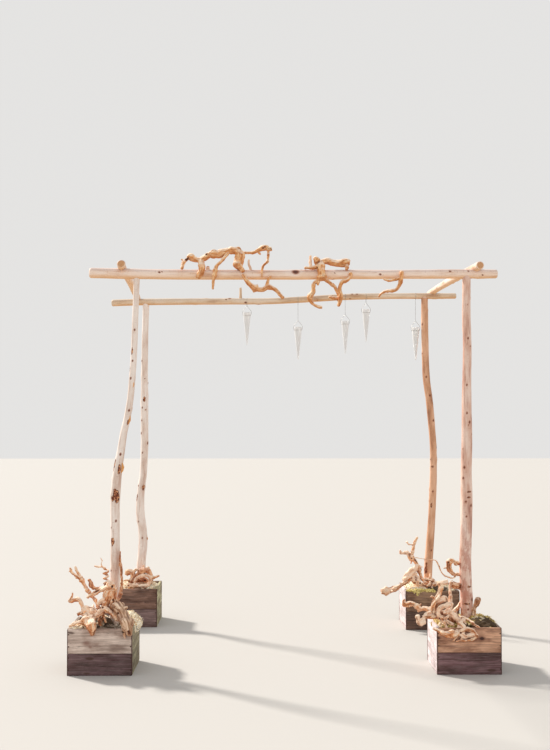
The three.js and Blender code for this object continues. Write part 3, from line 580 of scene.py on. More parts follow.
def board_wood(name, carried=True):
    """Weathered sawn board. The colour, partly painted light on some sides, the knots and the painted shade
    at the ends of each board are carried by its mesh.
    """
    shade = Shade(name)
    plank = shade.attribute("plank", "Vector") if carried else shade.place()
    tint = shade.attribute("board_tint", "Color") if carried else "8C7263"
    warp = shade.grain(plank, (3, 12, 12), 3)
    sockets = {0: warp, 1: (0.0, 0.05, 0.05), 2: plank}
    bent = shade.node("VectorMath", "Vector", sockets, operation="MULTIPLY_ADD")
    grain = shade.grain(bent, (1.8, 90, 90), 5, 0.62)
    fibre = shade.grain(plank, (9, 620, 620), 3, 0.6)
    mottle = shade.grain(plank, (6, 16, 16), 5, 0.6, (9, 2, 5))
    crack = shade.ramp(shade.grain(bent, (3, 170, 170), 2, offset=(3, 7, 1)), (0.67, 0.0), (0.72, 0.85))
    spots = shade.node("TexVoronoi", "Distance", {"Vector": shade.scaled(bent, (5, 15, 15)), "Scale": 1.0})
    bright = shade.node("SeparateColor", 0, {0: tint})
    body = shade.mix(1.0, tint, shade.ramp(grain, (0.34, "B4ACA6"), (0.60, "FFFFFF")), "MULTIPLY")
    body = shade.mix(1.0, body, shade.ramp(mottle, (0.36, "AC9A92"), (0.60, "FFFFFF")), "MULTIPLY")
    body = shade.layers(
        body,
        (fibre, (0.50, 0.0), (0.85, 0.28), "E4D8CE"),
        # Where the tint is near white, as on the sides painted as sunlit, the plain tint covers the grain.
        (bright, (0.78, 0.0), (0.93, 0.85), tint),
    )
    body = shade.layers(shade.mix(crack, body, "33211C"), (spots, (0.10, 0.8), (0.17, 0.0), "4A3024"))
    if carried:
        knot, reach = shade.attribute("knot"), shade.attribute("reach")
        body = shade.layers(
            body,
            (knot, (0.10, 0.0), (0.45, 0.6), "7A4A38"),
            (knot, (0.45, 0.0), (0.75, 0.9), "3A2320"),
            # Painted shade in the corner joints at the boards' front ends.
            (reach, (0.962, 0.0), (0.985, 0.85), "45251E"),
        )
    height = shade.maths("ADD", shade.maths("MULTIPLY", grain, 0.8), shade.maths("MULTIPLY", fibre, 0.5))
    height = shade.maths("SUBTRACT", height, crack)
    return shade.finish(body, shade.ramp(fibre, (0.3, 0.92), (0.8, 0.74)), shade.bump(height, 0.6, 0.002))


def moss(name, olive):
    """Dry curled moss in small round lumps: cream on top, ochre between, painted shade in the seams, and
    dark soil, partly painted shade, low down.
    """
    shade = Shade(name)
    lump, lip, depth = map(shade.attribute, ("lump", "lip", "depth"))
    patch = shade.noise(shade.place(), 15, 4)
    clump = shade.noise(shade.place(), 95, 5, 0.68)
    bright = shade.ramp(clump, (0.34, "A87438"), (0.41, "F2D29C"), (0.48, "FFF2D6"), (0.60, "FFFBEC"))
    dull = shade.ramp(clump, (0.34, "4A3A18"), (0.44, "8E7838"), (0.54, "CCB26A"), (0.66, "F0DEA4"))
    yellow = shade.ramp(clump, (0.38, "7E6812"), (0.47, "C2A83E"), (0.56, "EAD878"))
    patch_from, patch_to = 0.52 - 0.12 * olive, 0.62 - 0.12 * olive
    body = shade.layers(
        bright,
        (patch, (patch_from, 0.0), (patch_to, 0.12 + 0.88 * olive), dull),
        (lump, (0.15, 0.35), (0.45, 0.0), "B8864E"),
        (lip, (0.2, 0.0), (0.8, 0.8), yellow),
        # Painted shade in the seams between clumps and lumps, and dark soil, partly painted shade.
        (depth, (0.25, 0.0), (0.80, 0.95), "38230F"),
    )
    return shade.finish(body, 0.95, shade.bump(clump, 1.0, 0.004))


def clear_glass(name):
    shade = Shade(name)
    smear = shade.noise(shade.place(), 60, 2)
    shade.shader.inputs["Transmission Weight"].default_value = 0.32
    shade.shader.inputs["IOR"].default_value = 1.45
    return shade.finish("FFFFFF", shade.ramp(smear, (0.3, 0.02), (0.8, 0.08)))


def steel_wire(name, dark, light):
    shade = Shade(name)
    worn = shade.noise(shade.place(), 300, 3)
    shade.shader.inputs["Metallic"].default_value = 1.0
    roughness = shade.ramp(worn, (0.3, 0.5), (0.7, 0.3))
    return shade.finish(shade.ramp(worn, (0.3, dark), (0.7, light)), roughness)


# Poles: picture column, picture row and radius in millimetres, from the ground up.

POLES = {
    "front_left": [
        (113.6, 668, 33), (114.6, 610, 32), (115.3, 566, 30), (115.3, 533, 29), (115.2, 506, 30),
        (116.4, 484, 31), (118.4, 466, 29), (121, 450, 26), (123.6, 433, 23), (127.2, 418, 22),
        (130.4, 398, 21), (132.5, 375, 21), (134, 350, 20), (135.4, 312, 20), (136.8, 275, 19),
    ],
    "front_right": [
        (467.4, 668, 42), (466.7, 613, 39.5), (466.2, 590, 39), (465.4, 566, 38), (465.8, 540, 37),
        (466.4, 505, 38), (466.4, 470, 36), (466.8, 440, 34), (466.6, 400, 30), (467, 372, 29),
        (467, 344, 28), (466.3, 320, 27.5), (466.5, 275, 27),
    ],
    "back_left": [
        (141.2, 624, 35), (141, 590, 35), (141.4, 562, 34), (143, 545, 34), (142.4, 530, 33),
        (140.4, 513, 33), (140.4, 500, 32), (141.4, 488, 30), (143.6, 472, 29), (144.6, 443, 29),
        (144.4, 400, 29), (144.6, 370, 27), (145, 340, 26), (146, 303, 25),
    ],
    "back_right": [
        (427, 627, 32), (427.6, 590, 31), (428.2, 570, 30), (430, 543, 30), (431.6, 520, 29),
        (432.4, 500, 28), (433.4, 470, 26), (433, 445, 26), (431.6, 425, 27), (429.4, 401, 27),
        (426.3, 378, 28), (425, 340, 27), (424.5, 297, 26),
    ],
}
# Knots that show, each at a picture column and row with a half size in millimetres.
KNOTS = {
    "front_left": [(121, 454, 9), (129.5, 410, 8), (133, 361, 7), (116.5, 520, 8), (135, 330, 7)],
    "front_right": [
        (468.6, 421.5, 9), (463.5, 467.8, 9), (462.6, 477.7, 8), (469.9, 505.6, 10), (465.4, 516.3, 7),
        (471, 599, 11), (467, 609, 8), (466, 385, 7),
    ],
    "back_left": [
        (142.7, 407.5, 7), (142.2, 420, 7), (141.7, 432.7, 9), (147.7, 443, 10), (143, 452.5, 7),
        (138.7, 486, 7), (139.2, 521, 7), (142.8, 538, 7), (148, 538, 9),
    ],
    "back_right": [
        (425.7, 377.3, 8), (429.3, 395, 9), (432.7, 420, 9), (436.5, 446.8, 11), (432.3, 466.2, 8),
        (432.3, 491, 8), (430.7, 550, 8), (426, 563.5, 9), (426, 571, 11),
    ],
}
# Places where the bark has gone: picture column and row, half width and half height in millimetres.
PATCHES = {
    "front_left": [
        (116, 496.5, 24, 35), (114.6, 466, 6, 36), (113, 540.5, 10, 20), (129.6, 369.5, 7, 20),
        (132.4, 352, 6, 20), (119.9, 468.6, 10, 26), (128.3, 422, 8, 20),
    ],
    "front_right": [(468.5, 491.8, 17, 3), (468, 497.5, 15, 3), (465, 603, 20, 5), (468, 586, 18, 3)],
    "back_left": [(145, 399, 12, 18), (143.7, 487.5, 8, 24), (137, 498, 7, 20)],
    "back_right": [(425.6, 569, 15, 46), (431, 505, 6, 16)],
}
# Bark that has curled away: picture column and row, length and width in millimetres, side it curls to.
FLAPS = {
    "front_left": [(121.9, 468, 66, 17, 1), (129.2, 420, 60, 13, 1), (133.4, 385, 40, 9, 1)],
    "back_left": [(147, 538, 30, 9, 1)],
}
POLE_SEED = 40
POLE_PATTERN = 1
SPARE_KNOTS = {"pole": 18, "beam": 16, "side_beam": 12}
SPARE_PATCHES = 5
# Relief of the round wood, in metres: its waves, and the swelling and the sunk eye at a knot.
POLE_WAVE = 0.0016
BEAM_WAVE = 0.0012
KNOT_SWELL = 0.004
KNOT_SINK = 0.004
# Flakes of bark: rows and columns of vertices, and how thick and how deeply set they are, in metres.
FLAP_ROWS = 9
FLAP_COLUMNS = 5
FLAP_THICK = 0.0016
FLAP_SET = 0.0015


def face_place(limb, u, v, depth):
    """Where a picture place falls on the near side of a limb: its ring and its angle round the limb."""
    point = seen(u, v, depth)
    ring = int(np.argmin(np.linalg.norm(limb.centre - point, axis=1)))
    off = point - limb.centre[ring]
    off = (off - limb.ahead[ring] * np.dot(off, limb.ahead[ring])) / limb.radius[ring]
    off[1] = 0.0
    off = off * min(1.0, 0.95 / max(np.linalg.norm(off), 1e-6))
    off[1] = -math.sqrt(1 - np.dot(off, off))
    return ring, math.atan2(np.dot(off, limb.up[ring]), np.dot(off, limb.side[ring]))


def knot_places(limb, picked, depth, spare, rng):
    """Along, angle and half size of the picked knots and of spare ones anywhere."""
    places = []
    for u, v, size in picked:
        ring, angle = face_place(limb, u, v, depth)
        places.append((limb.along[ring], angle, size / 1000))
    for _ in range(spare):
        along = rng.uniform(0.3, limb.along[-1] - 0.1)
        places.append((along, rng.uniform(-math.pi, math.pi), rng.uniform(0.004, 0.008)))
    return places


def swing(turn, angle, radius):
    """The way round a limb from one angle to another, as a length."""
    return np.angle(np.exp(1j * (turn - angle))) * radius


def knot_mask(along, turn, radius, places, spread):
    mask = np.zeros(len(along))
    for place, angle, size in places:
        lengthwise = (along - place) ** 2 * 0.55
        reach = np.sqrt(lengthwise + swing(turn, angle, radius) ** 2) / (size * spread)
        mask = np.maximum(mask, np.exp(-reach ** 2))
    return mask


def patch_mask(straight, turn, radius, patches, seed):
    """Ragged patches, each given by its place along, its angle, and its half width and height."""
    ragged = fractal(straight * (55, 55, 30) + seed, 3) * 0.55
    mask = np.zeros(len(turn))
    for place, angle, wide, high in patches:
        reach = np.hypot((straight[:, 2] - place) / high, swing(turn, angle, radius) / wide) + ragged
        mask = np.maximum(mask, np.clip((1.15 - reach) * 3, 0, 1))
    return mask


def bark_relief(places, seed, wave):
    """Gentle swellings, a swollen ring and a sunk eye at each knot."""
    def relief(along, turn, radius):
        around = np.stack((np.cos(turn), np.sin(turn), along * 3.0), axis=1)
        swelling = fractal(around * (1.2, 1.2, 1.6) + seed, 3) * wave
        ridges = fractal(around * (5, 5, 1.5) + seed * 3, 2) * wave * 0.35
        bulge = knot_mask(along, turn, radius, places, 2.2) * KNOT_SWELL
        eye = knot_mask(along, turn, radius, places, 0.75) * KNOT_SINK
        return swelling + ridges + bulge - eye
    return relief


def bark_flap(limb, ring, angle, length, width, curl, seed):
    """A thin closed flake of bark that stands off a pole: vertices, faces and straightened places."""
    ragged = np.random.default_rng(seed).uniform(0.82, 1.0, FLAP_ROWS)
    points, straight = [], []
    for layer in (0.0, 1.0):
        for i in range(FLAP_ROWS):
            share = i / (FLAP_ROWS - 1) - 0.5
            here = int(np.clip(ring + share * length / ROUND_STEP, 0, len(limb.centre) - 1))
            out = limb.outward(here, angle)
            around = np.cross(limb.ahead[here], out)
            forward = share * length - limb.along[here] + limb.along[ring]
            centre = limb.centre[here] + limb.ahead[here] * forward
            reach = width * ragged[i] * (1 - 3.2 * share * share)
            for j in range(FLAP_COLUMNS):
                t = j / (FLAP_COLUMNS - 1)
                off = limb.radius[here] - FLAP_SET + reach * t
                bend = curl * reach * 0.5 * t * t + layer * FLAP_THICK * (1 - 0.6 * t)
                points.append(centre + out * off + around * bend)
                straight.append((off, layer * 0.002, limb.along[ring] + share * length))
    step = FLAP_ROWS * FLAP_COLUMNS
    sheet = np.arange(step).reshape(FLAP_ROWS, FLAP_COLUMNS)
    faces = []
    for i in range(FLAP_ROWS - 1):
        for j in range(FLAP_COLUMNS - 1):
            quad = [sheet[i, j], sheet[i, j + 1], sheet[i + 1, j + 1], sheet[i + 1, j]]
            faces += [quad, [place + step for place in quad[::-1]]]
    border = [*sheet[0], *sheet[1:, -1], *sheet[-1, -2::-1], *sheet[-2:0:-1, 0]]
    for a, b in zip(border, border[1:] + border[:1]):
        faces.append([b, a, a + step, b + step])
    return np.array(points), faces, np.array(straight)


def round_wood(name, node, limb, places, seed, wave, material, slot, patches=(), flaps=()):
    """A pole or a beam with its bark flakes and its stubs of side shoots, as one piece."""
    relief = bark_relief(places, seed, wave)
    points, faces, straight, cut = skin(limb, ROUND_SIDES, 0.12, relief)
    turn = np.arctan2(straight[:, 1], straight[:, 0])
    radius = np.hypot(straight[:, 0], straight[:, 1])
    knot = knot_mask(straight[:, 2], turn, radius, places, 0.9)
    peel = patch_mask(straight, turn, np.maximum(radius, 0.005), patches, seed)
    pile = Pile(limb=np.zeros(3), knot=0.0, peel=0.0, cut=0.0, flake=0.0)
    pile.add(points, faces, limb=straight + seed * 0.37, knot=knot, peel=peel, cut=cut)
    for number, flap in enumerate(flaps):
        points, faces, straight = bark_flap(limb, *flap, seed * 7 + number)
        pile.add(points, faces, limb=straight, flake=1.0)
    for stops in BEAM_STUBS.get(node, {}).values():
        stub = seen_limb(stops, DEPTHS[node], BRANCH_STEP)
        points, faces, straight, cut = skin(stub, BRANCH_SIDES, 0.9, fluted(seed))
        pile.add(points, faces, limb=straight, cut=cut)
    add_piece(name, pile.mesh(name), material, slot, node)


def trim_limb(limb, keep):
    """Keeps only some of a limb's samples."""
    for key in ("centre", "radius", "ahead", "side", "up", "along"):
        setattr(limb, key, getattr(limb, key)[keep])
    limb.along = limb.along - limb.along[0]


def bare_patches(corner, limb, rng):
    """The bare patches that show and some on the far side: along, angle, half width and height."""
    patches = []
    for u, v, wide, high in PATCHES[corner]:
        ring, angle = face_place(limb, u, v, DEPTHS[corner])
        patches.append((limb.along[ring], angle, wide / 1000, high / 1000))
    for _ in range(SPARE_PATCHES):
        ring = rng.integers(30, len(limb.centre) - 20)
        aside = rng.uniform(-0.8, 0.8)
        facing = np.array((aside, math.sqrt(1 - aside * aside), 0.0))
        angle = math.atan2(np.dot(facing, limb.up[ring]), np.dot(facing, limb.side[ring]))
        patches.append((limb.along[ring], angle, rng.uniform(0.006, 0.014), rng.uniform(0.01, 0.03)))
    return patches


def make_poles(barks):
    for number, (corner, stops) in enumerate(POLES.items()):
        rng = np.random.default_rng(POLE_SEED + number)
        depth = DEPTHS[corner]
        limb = seen_limb([(u, v, 0, r) for u, v, r in stops], depth, ROUND_STEP)
        trim_limb(limb, limb.centre[:, 2] > POLE_FOOT)
        places = knot_places(limb, KNOTS[corner], depth, SPARE_KNOTS["pole"], rng)
        patches = bare_patches(corner, limb, rng)
        flaps = [(*face_place(limb, u, v, depth), length / 1000, width / 1000, curl)
                 for u, v, length, width, curl in FLAPS.get(corner, ())]
        slot = "tan_bark" if corner == "back_right" else "pale_bark"
        node = f"pole_{corner}"
        pattern = POLE_PATTERN + number * 3
        round_wood(f"bark_{node}", node, limb, places, pattern, POLE_WAVE, barks[corner], slot,
                   patches, flaps)


# Beams: picture column, picture row, depth and radius in millimetres.

BEAMS = {
    "front_beam": [
        (89.6, 273, FRONT_Y, 33), (137, 274, FRONT_Y, 34), (200, 274.7, FRONT_Y, 33),
        (256, 274.8, FRONT_Y, 32), (333, 274.6, FRONT_Y, 31), (400, 274.4, FRONT_Y, 30),
        (466, 274, FRONT_Y, 30), (497, 274, FRONT_Y, 29),
    ],
    "back_beam": [
        (112, 303, 768, 27), (146, 302, 753, 26), (225, 301.4, 718, 25), (275, 301, 697, 24),
        (346, 297, 666, 24), (390, 296, 647, 23), (424, 296, 632, 23), (456, 296, 618, 22),
    ],
}
# Short stubs of side shoots that the beams still carry. Here and below each stop is a picture
# column, a picture row, the distance behind the depth of the beam or pole, and a radius, in millimetres.
BEAM_STUBS = {
    "front_beam": {
        "twig": [(250.8, 272, -6, 9), (250.2, 268, -6, 8), (248.8, 264.4, -8, 8), (248.8, 259.6, -8, 7)],
        "knob": [(207.6, 271.6, -4, 14), (207.8, 266, -6, 9)],
    },
    "back_beam": {"twig": [(240.8, 301, -43, 10), (240.6, 294, -43, 10), (240.4, 287.6, -43, 9)]},
}
BEAM_KNOTS = {
    "front_beam": [
        (295.8, 272.4, 21), (301, 267.6, 7), (305.9, 270.3, 6), (312, 269.5, 7), (160, 273, 8),
        (380, 275, 8),
    ],
    "back_beam": [(231, 299.6, 10), (246, 303.5, 9), (352, 296, 8)],
}
# The side beams, in metres: places along their middle, and a radius at each place.
SIDE_BEAMS = {
    "left_beam": (
        [
            (-1.043, -0.85, 2.592), (-1.055, -0.735, 2.592), (-1.095, 0.01, 2.588), (-1.132, 0.768, 2.556),
            (-1.137, 0.88, 2.55),
        ],
        [0.027, 0.027, 0.026, 0.024, 0.023],
    ),
    "right_beam": (
        [
            (1.262, -0.85, 2.588), (1.255, -0.735, 2.588), (1.228, 0.0, 2.596), (1.195, 0.64, 2.586),
            (1.19, 0.76, 2.582),
        ],
        [0.027, 0.027, 0.026, 0.024, 0.023],
    ),
}
BEAM_SEED = 60
SIDE_BEAM_SEED = 70
BEAM_PATTERN = 9
SIDE_BEAM_PATTERN = 15


def make_beam(node, limb, places, pattern, wood):
    round_wood(f"peeled_{node}", node, limb, places, pattern, BEAM_WAVE, wood, "peeled_wood")


def make_beams(woods):
    for number, (node, stops) in enumerate(BEAMS.items()):
        rng = np.random.default_rng(BEAM_SEED + number)
        limb = seen_limb(stops, 0, ROUND_STEP)
        places = knot_places(limb, BEAM_KNOTS[node], stops[0][2], SPARE_KNOTS["beam"], rng)
        make_beam(node, limb, places, BEAM_PATTERN + number, woods[node])
    for number, (node, (stops, radii)) in enumerate(SIDE_BEAMS.items()):
        rng = np.random.default_rng(SIDE_BEAM_SEED + number)
        limb = Limb(stops, radii, ROUND_STEP)
        places = knot_places(limb, (), 0, SPARE_KNOTS["side_beam"], rng)
        make_beam(node, limb, places, SIDE_BEAM_PATTERN + number, woods[node])


# Dead branches: each limb is a list of such stops.

BEAM_BRANCHES = {
    "arch_branch": {
        "main_arch": [(187.8, 258.4, -8, 14), (190, 257, -4, 17), (194, 259, 0, 19), (199, 260, 0, 20),
            (204, 258.2, 0, 20), (209, 255, 0, 20), (214, 254.2, 0, 21), (218.6, 254.4, 0, 23),
            (223, 252.6, 0, 21), (227.4, 251, 0, 22), (232.4, 250.6, 0, 22), (237.2, 251.6, 0, 25),
            (239.4, 255.4, -2, 29), (239.2, 260.4, -4, 32), (238, 264.6, -12, 30), (236.6, 267.4, -20, 24)],
        "left_lump": [(187.6, 259, -10, 11), (184.4, 261.4, -18, 14), (183, 264, -26, 12),
            (181.8, 269, -43, 9)],
        "left_tip": [(184.6, 261, -14, 9), (181, 259, -14, 6)],
        "left_leg": [(201, 261, -6, 20), (201.6, 265.4, -26, 21), (201.6, 270, -41, 24),
            (198.6, 275, -39, 16), (196.6, 278, -37, 8)],
        "left_leg_second_foot": [(202, 270.6, -41, 18), (200.2, 275.4, -41, 14), (199, 279, -37, 8)],
        "middle_leg": [(228.6, 252.6, -12, 11), (224.6, 257.4, -26, 11), (220.6, 262, -41, 10.5),
            (216.8, 265.6, -39, 11), (215, 271, -41, 13), (214, 276.4, -41, 11), (213.2, 281.6, -41, 10),
            (213, 289.4, -37, 8)],
        "right_arm": [(240, 254, 0, 16), (244.4, 252.8, 2, 10), (249.4, 252.8, 2, 9), (254, 252.4, -1, 11),
            (257.6, 250.4, -4, 13), (261.6, 248.4, -8, 16), (265.4, 247.6, -11, 18),
            (268.6, 249.6, -13, 12), (271.8, 248.6, -14, 14)],
        "right_arm_spur": [(257, 251, -5, 8), (260.8, 254.8, -10, 4)],
        "right_leg": [(268.2, 249.8, -14, 10), (268.4, 254.6, -22, 8), (267.8, 259.6, -30, 8),
            (267.4, 261.8, -34, 9), (263.6, 265.4, -39, 8), (262.2, 270.4, -41, 8), (261.8, 277.4, -37, 6)],
        "arch_foot": [(238.4, 264, -14, 24), (241, 268.4, -30, 17), (243.8, 271.6, -40, 11)],
        "knob_left": [(208, 256, -8, 10), (206.2, 252.8, -14, 9)],
        "knob_middle": [(228.4, 251, -6, 12), (226.8, 248, -10, 7)],
        "knob_right": [(235, 250, -4, 13), (238.4, 248.4, -6, 12), (240.6, 250, -6, 10)],
    },
    "low_branch": {
        "arc": [(243, 274, -39, 12), (245.8, 279.4, -41, 13), (249.6, 284, -42, 15), (254, 287.4, -36, 18),
            (258, 289.2, -34, 18), (263, 289.4, -34, 16), (267.6, 287, -36, 16), (272.4, 288.2, -38, 13),
            (276.8, 291, -40, 13), (280.4, 294.8, -42, 12), (283.6, 298.4, -44, 9)],
        "upper_fork": [(266.4, 287.4, -38, 11), (267.6, 282.6, -40, 10), (268.6, 278.8, -39, 9),
            (270.8, 275.8, -37, 9)],
    },
    "wrapped_branch": {
        "trunk_over_the_beam": [(320.4, 262.6, -4, 20), (320.6, 267, -29, 27), (321.4, 272.4, -43, 28),
            (321.8, 277, -41, 26), (322, 281, -37, 16)],
        "left_leg": [(320, 277.6, -39, 17), (317.4, 280.4, -37, 14), (314.2, 283.4, -37, 12),
            (313.4, 287.8, -37, 13), (313.2, 291.8, -37, 14), (311, 294.8, -37, 15),
            (309.6, 297.6, -37, 17), (310.6, 300.6, -37, 12), (312.4, 303.4, -37, 11),
            (315.6, 305.6, -37, 11), (319, 307, -37, 11), (322.2, 307.4, -37, 8)],
        "inner_spur": [(318.6, 281, -45, 10), (317.8, 285.4, -47, 7)],
        "right_leg": [(321.6, 275.4, -41, 17), (325.8, 279.8, -37, 12), (330.4, 283.2, -37, 10),
            (334.6, 286.8, -37, 11), (337, 290.8, -37, 13), (339.6, 295.4, -37, 15),
            (339.4, 300.6, -37, 11), (338.2, 306.4, -37, 10)],
        "right_leg_spur": [(339.4, 297.4, -39, 10), (335.8, 298.6, -43, 11), (332, 297.4, -45, 10),
            (328.8, 296.8, -45, 9)],
        "right_arm": [(319, 265, -6, 18), (322.6, 262.4, -2, 20), (327, 261.2, 0, 24), (332, 262.6, 0, 22),
            (337, 263.6, 0, 22), (342, 263, -2, 22), (346.4, 262.2, -4, 24), (350, 262.4, -6, 18)],
        "right_arm_foot": [(345.6, 262.4, -8, 14), (347, 266.4, -20, 11), (346.4, 270, -34, 9)],
        "sawn_stub": [(316.2, 258.9, -50, 19), (316.4, 259.6, -24, 19), (317.6, 263, 0, 18)],
        "left_arm": [(318, 266.6, -16, 14), (313.4, 267.6, -22, 12), (308.4, 267.8, -26, 10),
            (304.4, 267.8, -26, 8)],
        "left_arm_twig": [(310.6, 266.8, -20, 10), (310.2, 261, -14, 9), (310.4, 255.2, -12, 8)],
    },
    "slung_branch": {
        "sling": [(350.6, 272.4, -35, 12), (349.8, 277.4, -41, 12), (346.4, 280.4, -51, 12),
            (342.6, 281.8, -59, 13), (340.2, 285.6, -62, 14), (339.8, 290, -63, 14), (341, 294, -63, 12),
            (340.6, 299, -62, 11), (339.2, 305.4, -59, 8)],
    },
    "end_branch": {
        "main": [(402, 271, -41, 12), (401.4, 277, -45, 12), (399.6, 284.6, -41, 11), (396, 289.8, -37, 11),
            (390.6, 290.8, -35, 11), (385.8, 291.4, -35, 10), (381.8, 293, -35, 9), (378.4, 297.2, -35, 6)],
        "upper_fork": [(401.4, 277.6, -43, 9), (395, 279.6, -41, 9), (389, 280.8, -37, 8),
            (383.6, 279, -35, 7)],
    },
}
